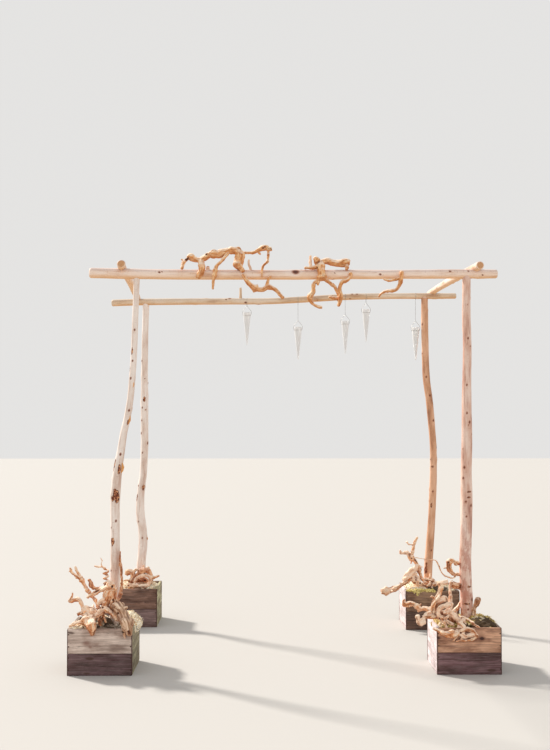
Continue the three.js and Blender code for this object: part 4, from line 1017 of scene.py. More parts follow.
PLANTER_BRANCHES = {
    "front_left": {
        "upper_fork_left_tine": [(69.8, 567.4, -62, 6), (71.4, 572.4, -61, 7), (75.8, 575.4, -60, 8.5),
            (80.5, 578.6, -60, 11), (84, 583.4, -61, 12), (86.6, 588.4, -64, 12), (90.2, 594, -70, 12),
            (94, 598.6, -76, 10), (96.6, 603, -82, 11), (99, 609, -88, 14)],
        "upper_fork_right_tine": [(75, 566.2, -52, 5.5), (77, 571.2, -54, 7), (79.4, 575.4, -57, 8),
            (81.2, 579, -59, 9)],
        "upper_fork_stub": [(76.2, 575.4, -60, 7), (76.3, 578.8, -64, 5)],
        "horn": [(88.8, 579.4, -96, 10), (90.2, 582.6, -96, 14), (92, 586.6, -94, 15), (96, 588.2, -94, 9),
            (102, 589.2, -96, 11)],
        "snout": [(87.2, 598, -98, 8), (89.4, 595.8, -98, 10), (93.2, 594, -100, 12),
            (97.6, 591.4, -100, 14), (102.4, 589.4, -101, 17), (107.6, 588, -102, 23),
            (112.4, 586.4, -102, 26), (115.2, 585.6, -100, 24)],
        "back_of_the_trunk": [(115.2, 587, -98, 17), (114.4, 592, -96, 18), (113.4, 598.6, -96, 19),
            (112.8, 604.6, -98, 18), (112.4, 611, -100, 18)],
        "trunk": [(110, 589, -106, 24), (107.6, 594.6, -108, 23), (106.2, 600, -108, 23),
            (104.6, 605.4, -108, 23), (103, 610.6, -104, 20), (101, 616.4, -92, 14), (100, 627, -84, 12)],
        "crest": [(84.6, 606.6, -104, 14), (88.4, 608.8, -110, 20), (92.4, 611.4, -118, 22),
            (96.2, 613.8, -124, 19), (99.4, 613.6, -124, 13)],
        "left_arm": [(68.6, 599.6, -66, 10), (71, 600.6, -68, 11), (74.8, 600.2, -74, 10),
            (78.4, 599.8, -80, 12), (80.8, 602.6, -86, 13), (83, 607, -94, 14), (85.6, 611.6, -106, 20),
            (88, 616, -124, 26), (89.6, 621, -160, 29), (91.4, 626.8, -219, 26), (92, 632, -217, 18),
            (91.6, 635.6, -213, 10)],
        "left_finger": [(72.6, 592.4, -64, 6), (72, 595.4, -66, 8), (70.4, 599, -68, 10)],
        "tongue": [(94.2, 618.8, -152, 7), (97.4, 616.6, -146, 8), (101, 614.4, -132, 8),
            (104.6, 611.4, -116, 10)],
        "brace": [(107.4, 606.8, -120, 11), (103.4, 608.4, -128, 15), (99.6, 611, -134, 14),
            (96.8, 614.6, -140, 12), (94.2, 618.2, -150, 11), (91, 623, -168, 12)],
        "right_leg": [(103.6, 608.6, -122, 11), (107.4, 610.6, -130, 14), (111, 613.4, -136, 14),
            (114.4, 617, -142, 12), (117.6, 620.4, -150, 8)],
        "middle_leg": [(100.6, 612, -112, 10), (104, 617, -112, 8), (106, 623, -108, 7)],
        "slab": [(113.4, 605.4, -112, 17), (117.4, 607, -120, 29), (121.2, 611.8, -142, 34),
            (124.6, 618.6, -182, 35), (127.4, 625.6, -225, 33), (128.8, 631.4, -225, 25),
            (129.2, 635.6, -223, 15)],
        "slip": [(121.4, 619, -226, 9), (123.4, 629, -225, 10), (124.6, 634, -223, 9),
            (124.8, 638.8, -217, 6)],
        "rim_root": [(68.8, 626.6, -180, 6), (72.4, 624.6, -176, 9), (77.4, 622.4, -170, 10),
            (83, 622.8, -166, 11), (88, 623.4, -164, 12)],
        "low_root": [(77, 614.6, -120, 10), (80.6, 613.4, -118, 13), (84.4, 616, -120, 12),
            (88, 619.6, -130, 12)],
        "upright": [(115, 607, -92, 12), (120.2, 595, -66, 10), (121.8, 582, -52, 9),
            (121.2, 571, -46, 8.5), (120, 560, -44, 7.5), (120.2, 551, -46, 5)],
        "curl_upper_end": [(106, 568.2, -72, 5), (103, 567, -66, 6), (98.2, 566.8, -60, 6),
            (94, 565.8, -56, 4)],
        "curl_tip": [(102.6, 567.4, -68, 3.5), (101.2, 563.8, -68, 3.5), (102.2, 560.8, -64, 3),
            (100.2, 557.4, -62, 2.5)],
        "base_knob": [(97.4, 604.6, -112, 12), (100, 602.4, -116, 15), (103.6, 600.4, -114, 17),
            (106, 600, -108, 14)],
        "slab_crown": [(112.4, 605.6, -128, 12), (115.6, 604.4, -130, 12), (118.4, 604.4, -126, 11)],
    },
    "front_right": {
        "long_left_arm": [(404.8, 598.8, -66, 6), (404, 601.8, -68, 11), (405.6, 604, -70, 15),
            (409.4, 603.6, -72, 16), (413.4, 604, -76, 15), (416.8, 606.4, -80, 15),
            (420.4, 608.8, -84, 14), (425.4, 608, -88, 13), (429.8, 610, -92, 15), (434, 612.4, -96, 17),
            (440, 613.6, -98, 18), (447, 613.6, -100, 24)],
        "claw": [(417.6, 615, -150, 13), (417.6, 618.4, -148, 13), (419.4, 621.8, -146, 18),
            (422.4, 621.8, -142, 19), (424.2, 617.8, -132, 13), (426.4, 614, -122, 11),
            (430.6, 612.2, -108, 12)],
        "claw_root": [(424, 617, -136, 11), (429, 617, -122, 12), (434.6, 616.4, -110, 14),
            (441, 615.6, -102, 18)],
        "raised_arm": [(438.8, 582.4, -86, 13), (440.6, 585.4, -86, 16), (440.4, 590, -88, 15),
            (439.2, 595, -90, 15), (436.4, 599.6, -94, 18), (433.8, 604.6, -96, 20), (433, 610.6, -96, 20)],
        "raised_arm_head": [(440.4, 582.8, -86, 15), (444.4, 582.4, -84, 16), (447.8, 582, -82, 13)],
        "raised_arm_stub": [(431.8, 600, -98, 6), (435.6, 602.6, -98, 11)],
        "second_head": [(445.6, 601.2, -106, 12), (444.6, 598.4, -106, 13), (441, 600.2, -104, 13),
            (437.4, 602.8, -101, 14), (433.8, 607.4, -98, 15)],
        "spike": [(450.8, 580.8, -62, 7), (450.2, 587, -66, 9.5), (450.4, 594.6, -74, 10.5),
            (450.6, 601, -82, 12), (450, 607.4, -92, 16), (448.4, 613, -100, 20)],
        "shelf": [(451.4, 583.4, -60, 14), (455, 585.2, -44, 20), (459.4, 585.6, 0, 19),
            (463.4, 587, 46, 14)],
        "open_curl": [(463.4, 564.6, 48, 9), (459, 563.8, 10, 10), (454.8, 562.6, -30, 11),
            (450.4, 560.6, -44, 12), (449, 565.2, -52, 15), (450, 570.4, -54, 15), (453.2, 573.6, -48, 12),
            (458.4, 574.4, -6, 11), (463.4, 578, 46, 10), (464.4, 588, 54, 11), (461.4, 601, 46, 13),
            (456, 610, 0, 15), (452, 614, -60, 18)],
        "thin_twig": [(456.4, 575, -30, 6), (452.6, 578, -50, 6), (448, 577, -56, 5),
            (443.8, 575, -60, 4.5), (441, 571.4, -62, 4), (438.6, 565.4, -64, 4), (435.4, 560.4, -66, 3.5),
            (429.6, 559.8, -68, 3.5), (423, 558.8, -70, 3), (415, 557.4, -72, 3)],
        "right_knob": [(477.6, 597.4, -40, 12), (477.8, 600.4, -40, 21), (476.2, 604.4, -38, 17),
            (474.6, 607.4, -34, 12), (473.8, 612.6, -32, 12), (473, 621, -40, 14), (466, 627.4, -80, 15),
            (457, 625, -110, 18)],
        "heart": [(445, 611, -104, 20), (450.4, 613.4, -112, 20), (455.4, 616.6, -118, 19),
            (458.6, 621.4, -124, 18), (459.6, 626.4, -124, 17), (459.6, 631, -124, 14)],
        "front_arch": [(450.4, 603.6, -106, 12), (445.6, 605.2, -124, 14), (440.6, 607.6, -130, 14),
            (438.6, 612, -136, 13), (440, 617, -142, 11), (443.6, 622, -150, 10)],
        "cross_root": [(436.6, 612, -110, 12), (442, 617.6, -124, 14), (448, 622.4, -134, 15),
            (455, 626.4, -140, 14)],
        "spill": [(433.4, 628.2, -188, 11), (436.8, 630.2, -207, 14), (440.6, 632.4, -213, 15),
            (445.4, 634, -216, 17), (451, 634, -218, 20), (456.4, 633, -217, 17), (459.6, 629, -190, 14),
            (459, 621, -150, 14)],
        "lace_outer": [(452.6, 641, -213, 6), (456, 637.4, -216, 9), (459.4, 633, -218, 11),
            (463.4, 630.4, -219, 12), (468.4, 629.6, -219, 12), (472.6, 631, -218, 12),
            (475.6, 634.4, -215, 10), (477.8, 637.6, -212, 7)],
        "lace_inner": [(459.6, 633.4, -215, 12), (465.6, 635.4, -216, 16), (470.6, 635, -216, 15),
            (475.6, 633, -215, 11)],
        "lace_root": [(459, 622, -150, 16), (463, 626.6, -190, 16), (466, 630.6, -215, 15)],
        "pale_stick": [(459, 617.6, -112, 9), (463, 617.6, -112, 9), (469.6, 620.6, -128, 8.5),
            (474.4, 624.8, -160, 8), (480.2, 628, -190, 6)],
        "heart_back": [(446, 612, -96, 24), (450, 617, -98, 24), (452, 624, -100, 20)],
        "thin_root": [(440.6, 616.6, -150, 8), (443.6, 621, -156, 7), (446, 625.6, -164, 8),
            (448, 630, -176, 9)],
        "small_knob": [(443.4, 612.6, -134, 8), (445, 611.6, -138, 10)],
        "low_knob": [(445.6, 617.6, -132, 10), (448.6, 616.4, -134, 11)],
        "lace_lower": [(455.6, 641, -211, 7), (461, 639.8, -213, 9), (467, 640.4, -213, 9),
            (472.6, 639.4, -212, 9), (476.4, 636.4, -212, 8)],
        "wedge": [(462.4, 618.4, -120, 11), (464, 621.6, -132, 10), (466.4, 624.8, -146, 5)],
    },
    "back_left": {
        "loop": [(127.4, 585, -120, 12), (131.4, 585, -124, 13), (137, 586, -130, 14),
            (142.6, 586.4, -134, 16), (147, 585.6, -132, 14), (149.6, 582.4, -128, 13),
            (150, 579, -124, 13), (148.8, 576.6, -118, 12), (145.4, 575.4, -112, 13),
            (141.4, 575.8, -108, 13), (137.8, 577.2, -110, 12), (135.4, 580.4, -118, 12),
            (134.8, 584, -126, 11)],
        "brown_arch": [(131, 582.6, -104, 13), (135, 577, -98, 14), (139, 573, -96, 16),
            (143.4, 571, -96, 18), (147.4, 570.6, -98, 17), (150, 572.8, -100, 14),
            (151.2, 577.4, -106, 12), (150, 583.4, -116, 15)],
        "left_mass": [(125.8, 574.6, -80, 15), (128.4, 572, -82, 17), (131.8, 572.4, -84, 19),
            (132.6, 577.4, -88, 20), (130.8, 583.4, -96, 18), (131, 590, -100, 18)],
        "core": [(136.4, 582, -68, 11), (140.4, 580.4, -64, 15), (145.6, 580.4, -64, 15),
            (150, 584, -68, 11)],
        "left_finger": [(130, 581.4, -104, 10), (126.6, 579.8, -108, 8), (123.6, 580.6, -110, 7)],
        "upper_knob": [(132.8, 573.4, -84, 11), (136.4, 569.4, -88, 9), (139.6, 572.4, -92, 10)],
        "spur": [(138.6, 574, -92, 9), (141.2, 570, -88, 8), (143.4, 567.2, -84, 6), (144.2, 564.6, -82, 4)],
        "pale_knob": [(145.6, 571, -92, 10), (147.6, 568, -86, 11), (149.6, 567.4, -84, 10)],
        "right_arm": [(149, 578.6, -118, 11), (152.4, 577.2, -116, 13), (156, 576.6, -112, 11),
            (159.6, 575.4, -108, 8)],
    },
    "back_right": {
        "stem": [(427, 584, -96, 12), (424, 581.4, -92, 11), (421.4, 577.4, -88, 11),
            (419.8, 572.4, -84, 13), (418.8, 568, -80, 18), (416.8, 563.6, -76, 15),
            (414.6, 560.2, -73, 14), (411.4, 558, -71, 20), (410, 555.4, -70, 17), (412, 553, -70, 10),
            (413.3, 549.2, -72, 9), (413.9, 545.2, -74, 12), (415.4, 541.2, -76, 10), (418, 537, -78, 6)],
        "left_tine": [(410, 555.6, -70, 13), (406.8, 552.8, -68, 14), (403.6, 553.4, -66, 8),
            (400.8, 553, -64, 9), (400.2, 549.6, -63, 6)],
        "small_tine": [(414.2, 543.6, -75, 8), (411, 544.8, -76, 7), (408.4, 544, -78, 6),
            (406.6, 541.6, -80, 10)],
        "stub": [(418.8, 567.4, -84, 9), (422.6, 566.6, -90, 5)],
        "left_body": [(402.8, 580.6, -118, 12), (405.6, 577.6, -112, 20), (408.8, 574.6, -106, 25),
            (412, 571.6, -98, 24), (415.4, 568.6, -90, 17), (417, 564.6, -80, 12)],
        "low_body": [(407.4, 577.4, -108, 16), (411.6, 579.6, -108, 15), (415.6, 582.4, -112, 14)],
        "middle_body": [(414, 575, -106, 18), (416, 578.6, -110, 26), (418.4, 582.6, -112, 26),
            (421, 586.4, -112, 18), (423, 592, -110, 16)],
        "right_lobe": [(424.4, 578.6, -84, 9), (428, 579.8, -86, 13), (432.6, 580.6, -90, 19),
            (434.2, 584.6, -98, 21), (431.4, 588.4, -106, 18), (427, 588.6, -108, 14), (422, 587, -110, 15)],
        "foot_spur": [(429.2, 581, -86, 11), (430, 576.6, -84, 9), (430.4, 573, -82, 7)],
        "far_left_bar": [(381.2, 591.6, -140, 21), (386, 591, -134, 22), (391.6, 590, -126, 22),
            (396.4, 587.8, -118, 20), (400.6, 585.4, -112, 15), (405, 582.6, -110, 14),
            (410, 580, -108, 14)],
        "bowl": [(421, 583.4, -118, 11), (424.6, 586.2, -124, 10), (428.4, 585.4, -122, 11),
            (431, 582, -112, 12)],
    },
}
# Limbs that are not the usual tan: 0 is red-brown, 1 is grey.
LIMB_TONES = {
    "branch_front_left": {
        # The horn's dark red-brown is partly painted shade.
        "horn": 0.0, "tongue": 0.1, "upright": 0.2, "slab_crown": 0.6, "slip": 0.8, "slab": 0.95,
    },
    "branch_front_right": {"shelf": 0.25, "thin_twig": 0.62, "right_knob": 0.8},
    "branch_back_left": {"core": 0.12, "brown_arch": 0.15, "left_mass": 0.28},
    "branch_back_right": {"foot_spur": 0.3, "far_left_bar": 0.72},
}
# Limbs that are made pale: partly bleached wood, partly painted light.
PALE_LIT_LIMBS = {
    "wrapped_branch": ("left_arm_twig",),
    "branch_front_left": ("crest", "brace", "tongue", "base_knob"),
    "branch_front_right": (
        "heart", "front_arch", "small_knob", "low_knob", "second_head", "claw", "raised_arm_head", "spike",
        "lace_inner",
    ),
    "branch_back_left": ("loop",),
    "branch_back_right": ("left_tine", "small_tine", "middle_body", "left_body"),
}
# Eyes in the wood, sunk pits darkened with painted shade: picture column and row with a half size in
# millimetres.
EYES = {
    "branch_front_left": [
        (113.8, 586.8, 8), (114.4, 600, 7), (111.6, 607.8, 6), (113, 607, 7), (116.3, 613.4, 7),
        (128.5, 634, 14), (69, 599.5, 5), (99.5, 606.5, 6), (103.5, 606.3, 6),
    ],
    "branch_front_right": [(449.4, 563, 6), (438, 619, 6), (461, 634, 6), (467, 633, 7), (444, 621, 6)],
    "branch_back_left": [
        (128.6, 576.7, 9), (143.7, 580.2, 9), (129, 581, 7), (145, 580, 8), (127.5, 586.5, 6),
    ],
    "branch_back_right": [
        (412, 559.5, 6), (421, 584, 8), (426, 586.5, 8), (416, 580.5, 8), (414.5, 584, 7),
    ],
    "arch_branch": [
        (188.2, 258.8, 14), (264.5, 247.3, 7), (262.5, 249.5, 6), (206.3, 252.8, 7), (272, 248, 6),
    ],
    "wrapped_branch": [(315.6, 267.6, 9)],
}
# The corkscrew twig: its picture column, its lower and upper row, its turns, and sizes in metres.
SPIRAL_U, SPIRAL_LOW, SPIRAL_HIGH = 106.2, 586.0, 568.0
SPIRAL_TURNS = 3.6
SPIRAL_REACH = 0.016
SPIRAL_THICK = 0.0066
SPIRAL_STEPS = 40
SPIRAL_TONE = 0.4
# How worn the wood is: the planters' branches are sand-blasted, the ones on the beam are smoother.
PLANTER_WEAR = 1.0
BEAM_WEAR = 0.45
# Flutes along a limb: how many run round it, and how deep they are as a share of its radius.
FLUTES = ((2, 0.13), (3, 0.09), (5, 0.05))
# Relief of the branches, in metres.
FIBRE_RELIEF = 0.0007
RIB_RELIEF = 0.0030
LUMP_RELIEF = 0.0036
HOLLOW_DEPTH = 0.008
LIMB_SHIFT = 1.7
CROWD_REACH = 0.06
BATCH = 4000
BEAM_BRANCH_SEED = 5
PLANTER_BRANCH_SEED = 15


def fluted(seed, wear=PLANTER_WEAR):
    """Twisting flutes and swellings, as vine wood has."""
    rng = np.random.default_rng(seed)
    phase = rng.uniform(0, 6.28, len(FLUTES))
    twist = rng.uniform(8, 20) * rng.choice((-1, 1))

    def relief(along, turn, radius):
        bent = turn + twist * along
        form = sum(deep * np.cos(count * bent + start) for (count, deep), start in zip(FLUTES, phase))
        around = np.stack((np.cos(turn), np.sin(turn), along * 16), axis=1)
        return radius * (form + 0.20 * fractal(around + seed * 1.7, 2)) * wear
    return relief


def knuckled(limb, rng):
    """Swells a limb here and there along its length, as wood does at its old side shoots."""
    factor = 0.98 + 0.10 * fractal(limb.along[:, None] * (34, 0, 0) + rng.uniform(0, 50), 2)
    for place in rng.uniform(0, limb.along[-1], max(1, int(limb.along[-1] / 0.045))):
        width = rng.uniform(0.5, 1.0) * np.interp(place, limb.along, limb.radius)
        factor = factor + rng.uniform(0.06, 0.32) * np.exp(-((limb.along - place) / width) ** 2)
    limb.radius = limb.radius * factor


def snapped_shoots(limb, rng):
    """Short snapped side shoots that lean along the limb they grow from."""
    shoots = []
    for _ in range(int(limb.along[-1] / 0.075)):
        ring = rng.integers(len(limb.centre))
        radius = limb.radius[ring]
        heading = limb.outward(ring, rng.uniform(0, 2 * math.pi))
        heading = heading + limb.ahead[ring] * rng.uniform(-0.8, 0.8)
        heading = heading / np.linalg.norm(heading)
        length = radius * rng.uniform(1.3, 1.9) + 0.004
        thick = max(0.003, radius * rng.uniform(0.26, 0.42))
        bend = rng.normal(0, 0.15, 3) * length
        stops = [limb.centre[ring] + heading * length * t + bend * t ** 2 for t in (0.0, 0.5, 1.0)]
        shoots.append(Limb(stops, [thick * 1.5, thick, thick * 0.7], 0.004))
    return shoots


def spiral_twig():
    """The thin twig that winds upward like a corkscrew, as the viewer sees it."""
    stops = []
    for step in range(SPIRAL_STEPS + 1):
        share = step / SPIRAL_STEPS
        turn = share * 2 * math.pi * SPIRAL_TURNS
        row = SPIRAL_LOW + (SPIRAL_HIGH - SPIRAL_LOW) * share
        reach = SPIRAL_REACH - 0.003 * share
        aside = np.array((math.cos(turn) * reach, math.sin(turn) * reach * 0.8, 0.0))
        stops.append(seen(SPIRAL_U, row, FRONT_Y - 98 + 30 * share) + aside)
    return Limb(stops, [SPIRAL_THICK] * len(stops), 0.004)


def branch_limbs(node, routes, depth, wear, rng):
    """All the limbs of one branch, the tone of each and whether it is pale."""
    limbs, tones, pale = [], [], []
    for key, stops in routes.items():
        limb = seen_limb(stops, depth, BRANCH_STEP)
        knuckled(limb, rng)
        tone = LIMB_TONES.get(node, {}).get(key, rng.uniform(0.42, 0.58))
        family = [limb] + (snapped_shoots(limb, rng) if wear == PLANTER_WEAR else [])
        limbs += family
        tones += [tone] * len(family)
        pale += [float(key in PALE_LIT_LIMBS.get(node, ()))] * len(family)
    if node == "branch_front_left":
        limbs.append(spiral_twig())
        tones.append(SPIRAL_TONE)
        pale.append(0.0)
    return limbs, tones, pale


def joined(limbs, tones, pale):
    """The samples of all limbs in one row, each with its limb's tone and paleness."""
    keys = ("centre", "side", "up", "ahead", "radius")
    wood = SimpleNamespace(**{key: np.concatenate([getattr(limb, key) for limb in limbs]) for key in keys})
    wood.along = np.concatenate([limb.along + LIMB_SHIFT * i for i, limb in enumerate(limbs)])
    counts = [len(limb.along) for limb in limbs]
    wood.tone = np.repeat(tones, counts)
    wood.pale = np.repeat(pale, counts)
    return wood


def nearest_samples(points, wood):
    """For each point, the sample whose surface lies nearest."""
    best = np.empty(len(points), int)
    for start in range(0, len(points), BATCH):
        part = points[start:start + BATCH]
        gap = np.linalg.norm(part[:, None, :] - wood.centre[None], axis=2) - wood.radius
        best[start:start + BATCH] = np.argmin(gap, axis=1)
    return best


def eye_places(node, depth, points, normals):
    """The surface place nearest to the viewer in the sight line of each eye."""
    places = []
    for u, v, size in EYES.get(node, ()):
        ray = seen(u, v, depth) - VIEWER
        ray = ray / np.linalg.norm(ray)
        toward = points - VIEWER
        ahead = toward @ ray
        aside = np.linalg.norm(toward - ahead[:, None] * ray, axis=1)
        near = np.where((aside < 0.008) & (normals @ ray < 0), ahead, np.inf)
        if np.isfinite(near.min()):
            places.append((points[int(np.argmin(near))], size / 1000))
    return places


def hollows(points, wood, count, rng):
    """Long sunk hollows strewn over the limbs: 1 at their deepest."""
    hollow = np.zeros(len(points))
    for _ in range(count):
        pick = rng.integers(len(wood.centre))
        size = wood.radius[pick] * rng.uniform(0.3, 0.75)
        turn = rng.uniform(0, 2 * math.pi)
        outward = math.cos(turn) * wood.side[pick] + math.sin(turn) * wood.up[pick]
        gap = points - (wood.centre[pick] + outward * wood.radius[pick])
        lengthwise = (gap * wood.ahead[pick]).sum(axis=1)
        reach = np.sqrt(np.maximum((gap ** 2).sum(axis=1) - 0.75 * lengthwise ** 2, 0)) / size
        hollow = np.maximum(hollow, 0.6 * np.exp(-reach ** 2) * min(1.0, size / 0.007))
    return hollow


def crowding(points, normals, faces):
    """How hemmed in each place is, for painted shade between limbs: 0 in the open, 1 where other wood lies
    close on all sides.
    """
    tree = BVHTree.FromPolygons(points.tolist(), faces)
    crowd_shade = np.zeros(len(points))
    starts = points + normals * 0.003
    for lean in ((0.0, 0.0, 0.0), (1.0, 0.0, 0.2), (-1.0, 0.0, 0.2), (0.0, 0.0, 1.0)):
        for i, (start, way) in enumerate(zip(starts, normals + lean)):
            distance = tree.ray_cast(start, way, CROWD_REACH)[3]
            if distance is not None:
                crowd_shade[i] += 0.25 * (1 - distance / CROWD_REACH)
    return crowd_shade


def fused_limbs(limbs, seed, wear, voxel):
    """One skin round all the limbs of a branch."""
    pile = Pile()
    for number, limb in enumerate(limbs):
        points, faces, _, _ = skin(limb, BRANCH_SIDES, 0.7, fluted(seed * 31 + number, wear))
        pile.add(points, faces)
    return pile.voxel_mesh(voxel)


def make_branch(name, node, routes, depth, seed, material, wear, voxel):
    """One dead branch: fused limbs with fibres, ribs, lumps, hollows and eyes, and painted shade in hollows,
    eyes, grooves and between limbs.
    """
    rng = np.random.default_rng(seed)
    limbs, tones, pale = branch_limbs(node, routes, depth, wear, rng)
    mesh = fused_limbs(limbs, seed, wear, voxel)
    points, normals = vertex_rows(mesh, "co"), vertex_rows(mesh, "normal")
    wood = joined(limbs, tones, pale)
    best = nearest_samples(points, wood)
    off = points - wood.centre[best]
    aside, above, forward = ((off * way[best]).sum(axis=1) for way in (wood.side, wood.up, wood.ahead))
    straight = np.stack((aside, above, wood.along[best] + forward), axis=1)
    hollow = hollows(points, wood, 2 * len(limbs), rng) * wear
    for place, size in eye_places(node, depth, points, normals):
        reach = np.linalg.norm(points - place, axis=1) / size
        hollow = np.maximum(hollow, 1.4 * np.exp(-reach ** 4))
    fibres = fractal(straight * (190, 190, 16) + seed, 2) * FIBRE_RELIEF
    ribs = (0.35 - np.abs(fractal(straight * (75, 75, 11) + seed * 2, 2))) * RIB_RELIEF * wear
    lumps = fractal(points * 60 + seed, 3) * LUMP_RELIEF * wear
    fine = np.clip(wood.radius[best] / 0.010, 0.25, 1.0)
    sink = np.minimum(hollow * HOLLOW_DEPTH, 0.5 * wood.radius[best])
    points = points + normals * (fine * (fibres + ribs + lumps) - sink)[:, None]
    points = np.clip(points, start_low, start_high)
    mesh.vertices.foreach_set("co", points.astype(np.float32).ravel())
    pale = wood.pale[best]
    # Painted shade in the grooves between ribs, in hollows and in eyes, weaker on pale limbs.
    groove_shade = np.clip(-ribs * 300, 0, 0.45) * (1 - 0.6 * pale)
    set_attribute(mesh, "limb", straight)
    set_attribute(mesh, "cave_shade", np.clip(hollow + groove_shade, 0, 1))
    set_attribute(mesh, "ridge", np.clip(ribs * 900, 0, 1))
    set_attribute(mesh, "tone", wood.tone[best])
    set_attribute(mesh, "pale", pale)
    # Painted shade between limbs.
    set_attribute(mesh, "crowd_shade", crowding(points, normals, face_lists(mesh)) * (1 - 0.5 * pale))
    smooth(mesh)
    mesh.name = name
    add_piece(name, mesh, material, "dead_wood", node)


# Planter boards.

# The colours of the upper and the lower board on the sides that show. The near-white left sides are
# partly painted sunlight, the green-grey right sides partly painted shade with a painted green reflection.
BOARD_TINTS_AND_LIGHT = {
    ("front_left", "front"): ("E8D4C7", "785C5E"),
    ("front_left", "right"): ("B0A986", "A09A78"),
    ("front_right", "front"): ("E6B392", "866367"),
    ("front_right", "left"): ("EFE3E5", "ECDDE0"),
    ("back_left", "front"): ("957160", "937875"),
    ("back_left", "right"): ("C5BF95", "B9B38D"),
    ("back_right", "front"): ("A07E63", "765849"),
    ("back_right", "left"): ("EEE3E4", "ECDEDE"),
}
SPARE_TINTS = (("A18A79", "7E6358"), ("8C7467", "957E6F"), ("AD9988", "846B61"), ("998273", "725C50"))
# Knots in the boards: picture column and row, a half size in millimetres and how dark they are.
BOARD_KNOTS = {
    ("front_left", "front"): [(86, 643.5, 24, 0.5), (90, 647, 10, 0.6)],
    ("front_right", "front"): [(482, 638.5, 17, 1.0), (438, 638, 14, 1.0), (489, 640, 15, 0.5)],
}
BOARD_LEVELS = ((SEAM_HEIGHT + SEAM / 2, BOX_HEIGHT), (0.0, SEAM_HEIGHT - SEAM / 2))
# The cells of the boards' faces, in metres: finer on the front, which is seen from near.
FRONT_CELL = 0.008
SIDE_CELL = 0.013
# How far in the side boards stand, how deep the edges are worn and how deep the dents are, in metres.
SIDE_GAP = 0.0003
EDGE_WEAR = 0.0022
DENT = 0.0006
# Screw heads, in metres: how far in from the boards' ends, how high, and radius and height round the head.
SCREW_INSET = 0.0095
SCREW_LEVELS = (0.035, 0.110, 0.180, 0.255)
SCREW_PROFILE = ((0.0044, -0.0006), (0.0044, 0.0002), (0.0034, 0.0007), (0.0014, 0.0007), (0.0010, 0.0001))
SCREW_SIDES = 12


def board(low, high, long_axis, cell, seed):
    """Points, faces, grain places and reach toward the ends of one board with worn edges."""
    low, high = np.array(low), np.array(high)
    bm = bmesh.new()
    bmesh.ops.create_cube(bm, size=1.0)
    for vertex in bm.verts:
        vertex.co = Vector((np.array(vertex.co) + 0.5) * (high - low) + low)
    bmesh.ops.bevel(bm, geom=bm.edges[:], offset=BOARD_EDGE, segments=2, profile=0.6, affect="EDGES")
    for axis in range(3):
        length = high[axis] - low[axis]
        parts = max(2, round(length / cell))
        normal = [float(axis == i) for i in range(3)]
        for cut in range(1, parts):
            place = [part * (low[axis] + cut * length / parts) for part in normal]
            geometry = bm.verts[:] + bm.edges[:] + bm.faces[:]
            bmesh.ops.bisect_plane(bm, geom=geometry, plane_co=place, plane_no=normal)
    points, faces = unpacked(bm)
    order = [long_axis] + [axis for axis in (2, 1, 0) if axis != long_axis]
    plank = points[:, order] + np.random.default_rng(seed).uniform(-9, 9, 3)
    middle = (low + high) / 2
    share = np.abs(points - middle) / (high - low) * 2
    inward = unit((middle - points) * (share > 0.9))
    wear = np.clip(fractal(points * 60 + seed, 3), 0, 1) * EDGE_WEAR
    edges = (share > 0.9).sum(axis=1) >= 2
    dent = np.clip(fractal(plank * (6, 60, 60), 2), 0, 1) * DENT
    return points + inward * (dent + wear * edges)[:, None], faces, plank, share[:, long_axis]


def wall_spans(corner):
    """Each wall's lower and upper corner in plan, and the axis it runs along."""
    x, y = CORNERS[corner]
    half = BOX_WIDTH / 2
    inner = half - BOARD_THICK
    across = inner - SIDE_GAP
    return {
        "front": ((x - half, y - half), (x + half, y - inner), 0),
        "back": ((x - half, y + inner), (x + half, y + half), 0),
        "left": ((x - half, y - across), (x - inner, y + across), 1),
        "right": ((x + inner, y - across), (x + half, y + across), 1),
    }


def make_wall(corner, side, material):
    spans = wall_spans(corner)
    (x0, y0), (x1, y1), long_axis = spans[side]
    number = list(CORNERS).index(corner) * len(spans) + list(spans).index(side)
    tints = BOARD_TINTS_AND_LIGHT.get((corner, side), SPARE_TINTS[number % len(SPARE_TINTS)])
    cell = FRONT_CELL if side == "front" else SIDE_CELL
    pile = Pile(plank=np.zeros(3), reach=0.0, knot=0.0, board_tint=np.zeros(4))
    for level, ((z0, z1), tint) in enumerate(zip(BOARD_LEVELS, tints)):
        points, faces, plank, reach = board((x0, y0, z0), (x1, y1, z1), long_axis, cell, number * 2 + level)
        if side in ("left", "right"):
            reach = 0.0
        knot = np.zeros(len(points))
        for u, v, size, dark in BOARD_KNOTS.get((corner, side), ()):
            off = (points - seen(u, v, y0 * 1000)) / (size / 1000)
            knot = np.maximum(knot, dark * np.exp(-(off * (0.8, 1.0, 1.2)) ** 2 @ np.ones(3)))
        pile.add(points, faces, plank=plank, reach=reach, knot=knot, board_tint=colour(tint))
    name = f"boards_{corner}_{side}"
    add_piece(name, pile.mesh(name), material, "grey_board", f"planter_{corner}_{side}")


def lathe(profile, sides):
    """Vertices and faces of a round body about +Z, with a flat cap at each end of its profile."""
    angles = np.linspace(0, 2 * math.pi, sides, endpoint=False)
    points = [(r * math.cos(a), r * math.sin(a), z) for r, z in profile for a in angles]
    faces = []
    for row in range(0, (len(profile) - 1) * sides, sides):
        for k in range(sides):
            j = (k + 1) % sides
            faces.append([row + k, row + j, row + sides + j, row + sides + k])
    last = (len(profile) - 1) * sides
    faces += [list(range(sides))[::-1], list(range(last, last + sides))]
    return np.array(points), faces


def screw(place, facing):
    """A round screw head with a small sunk middle, just proud of a board's face."""
    points, faces = lathe(SCREW_PROFILE, SCREW_SIDES)
    points = points[:, (0, 2, 1)] * (1, facing, 1) + place
    return points, faces if facing < 0 else [face[::-1] for face in faces]


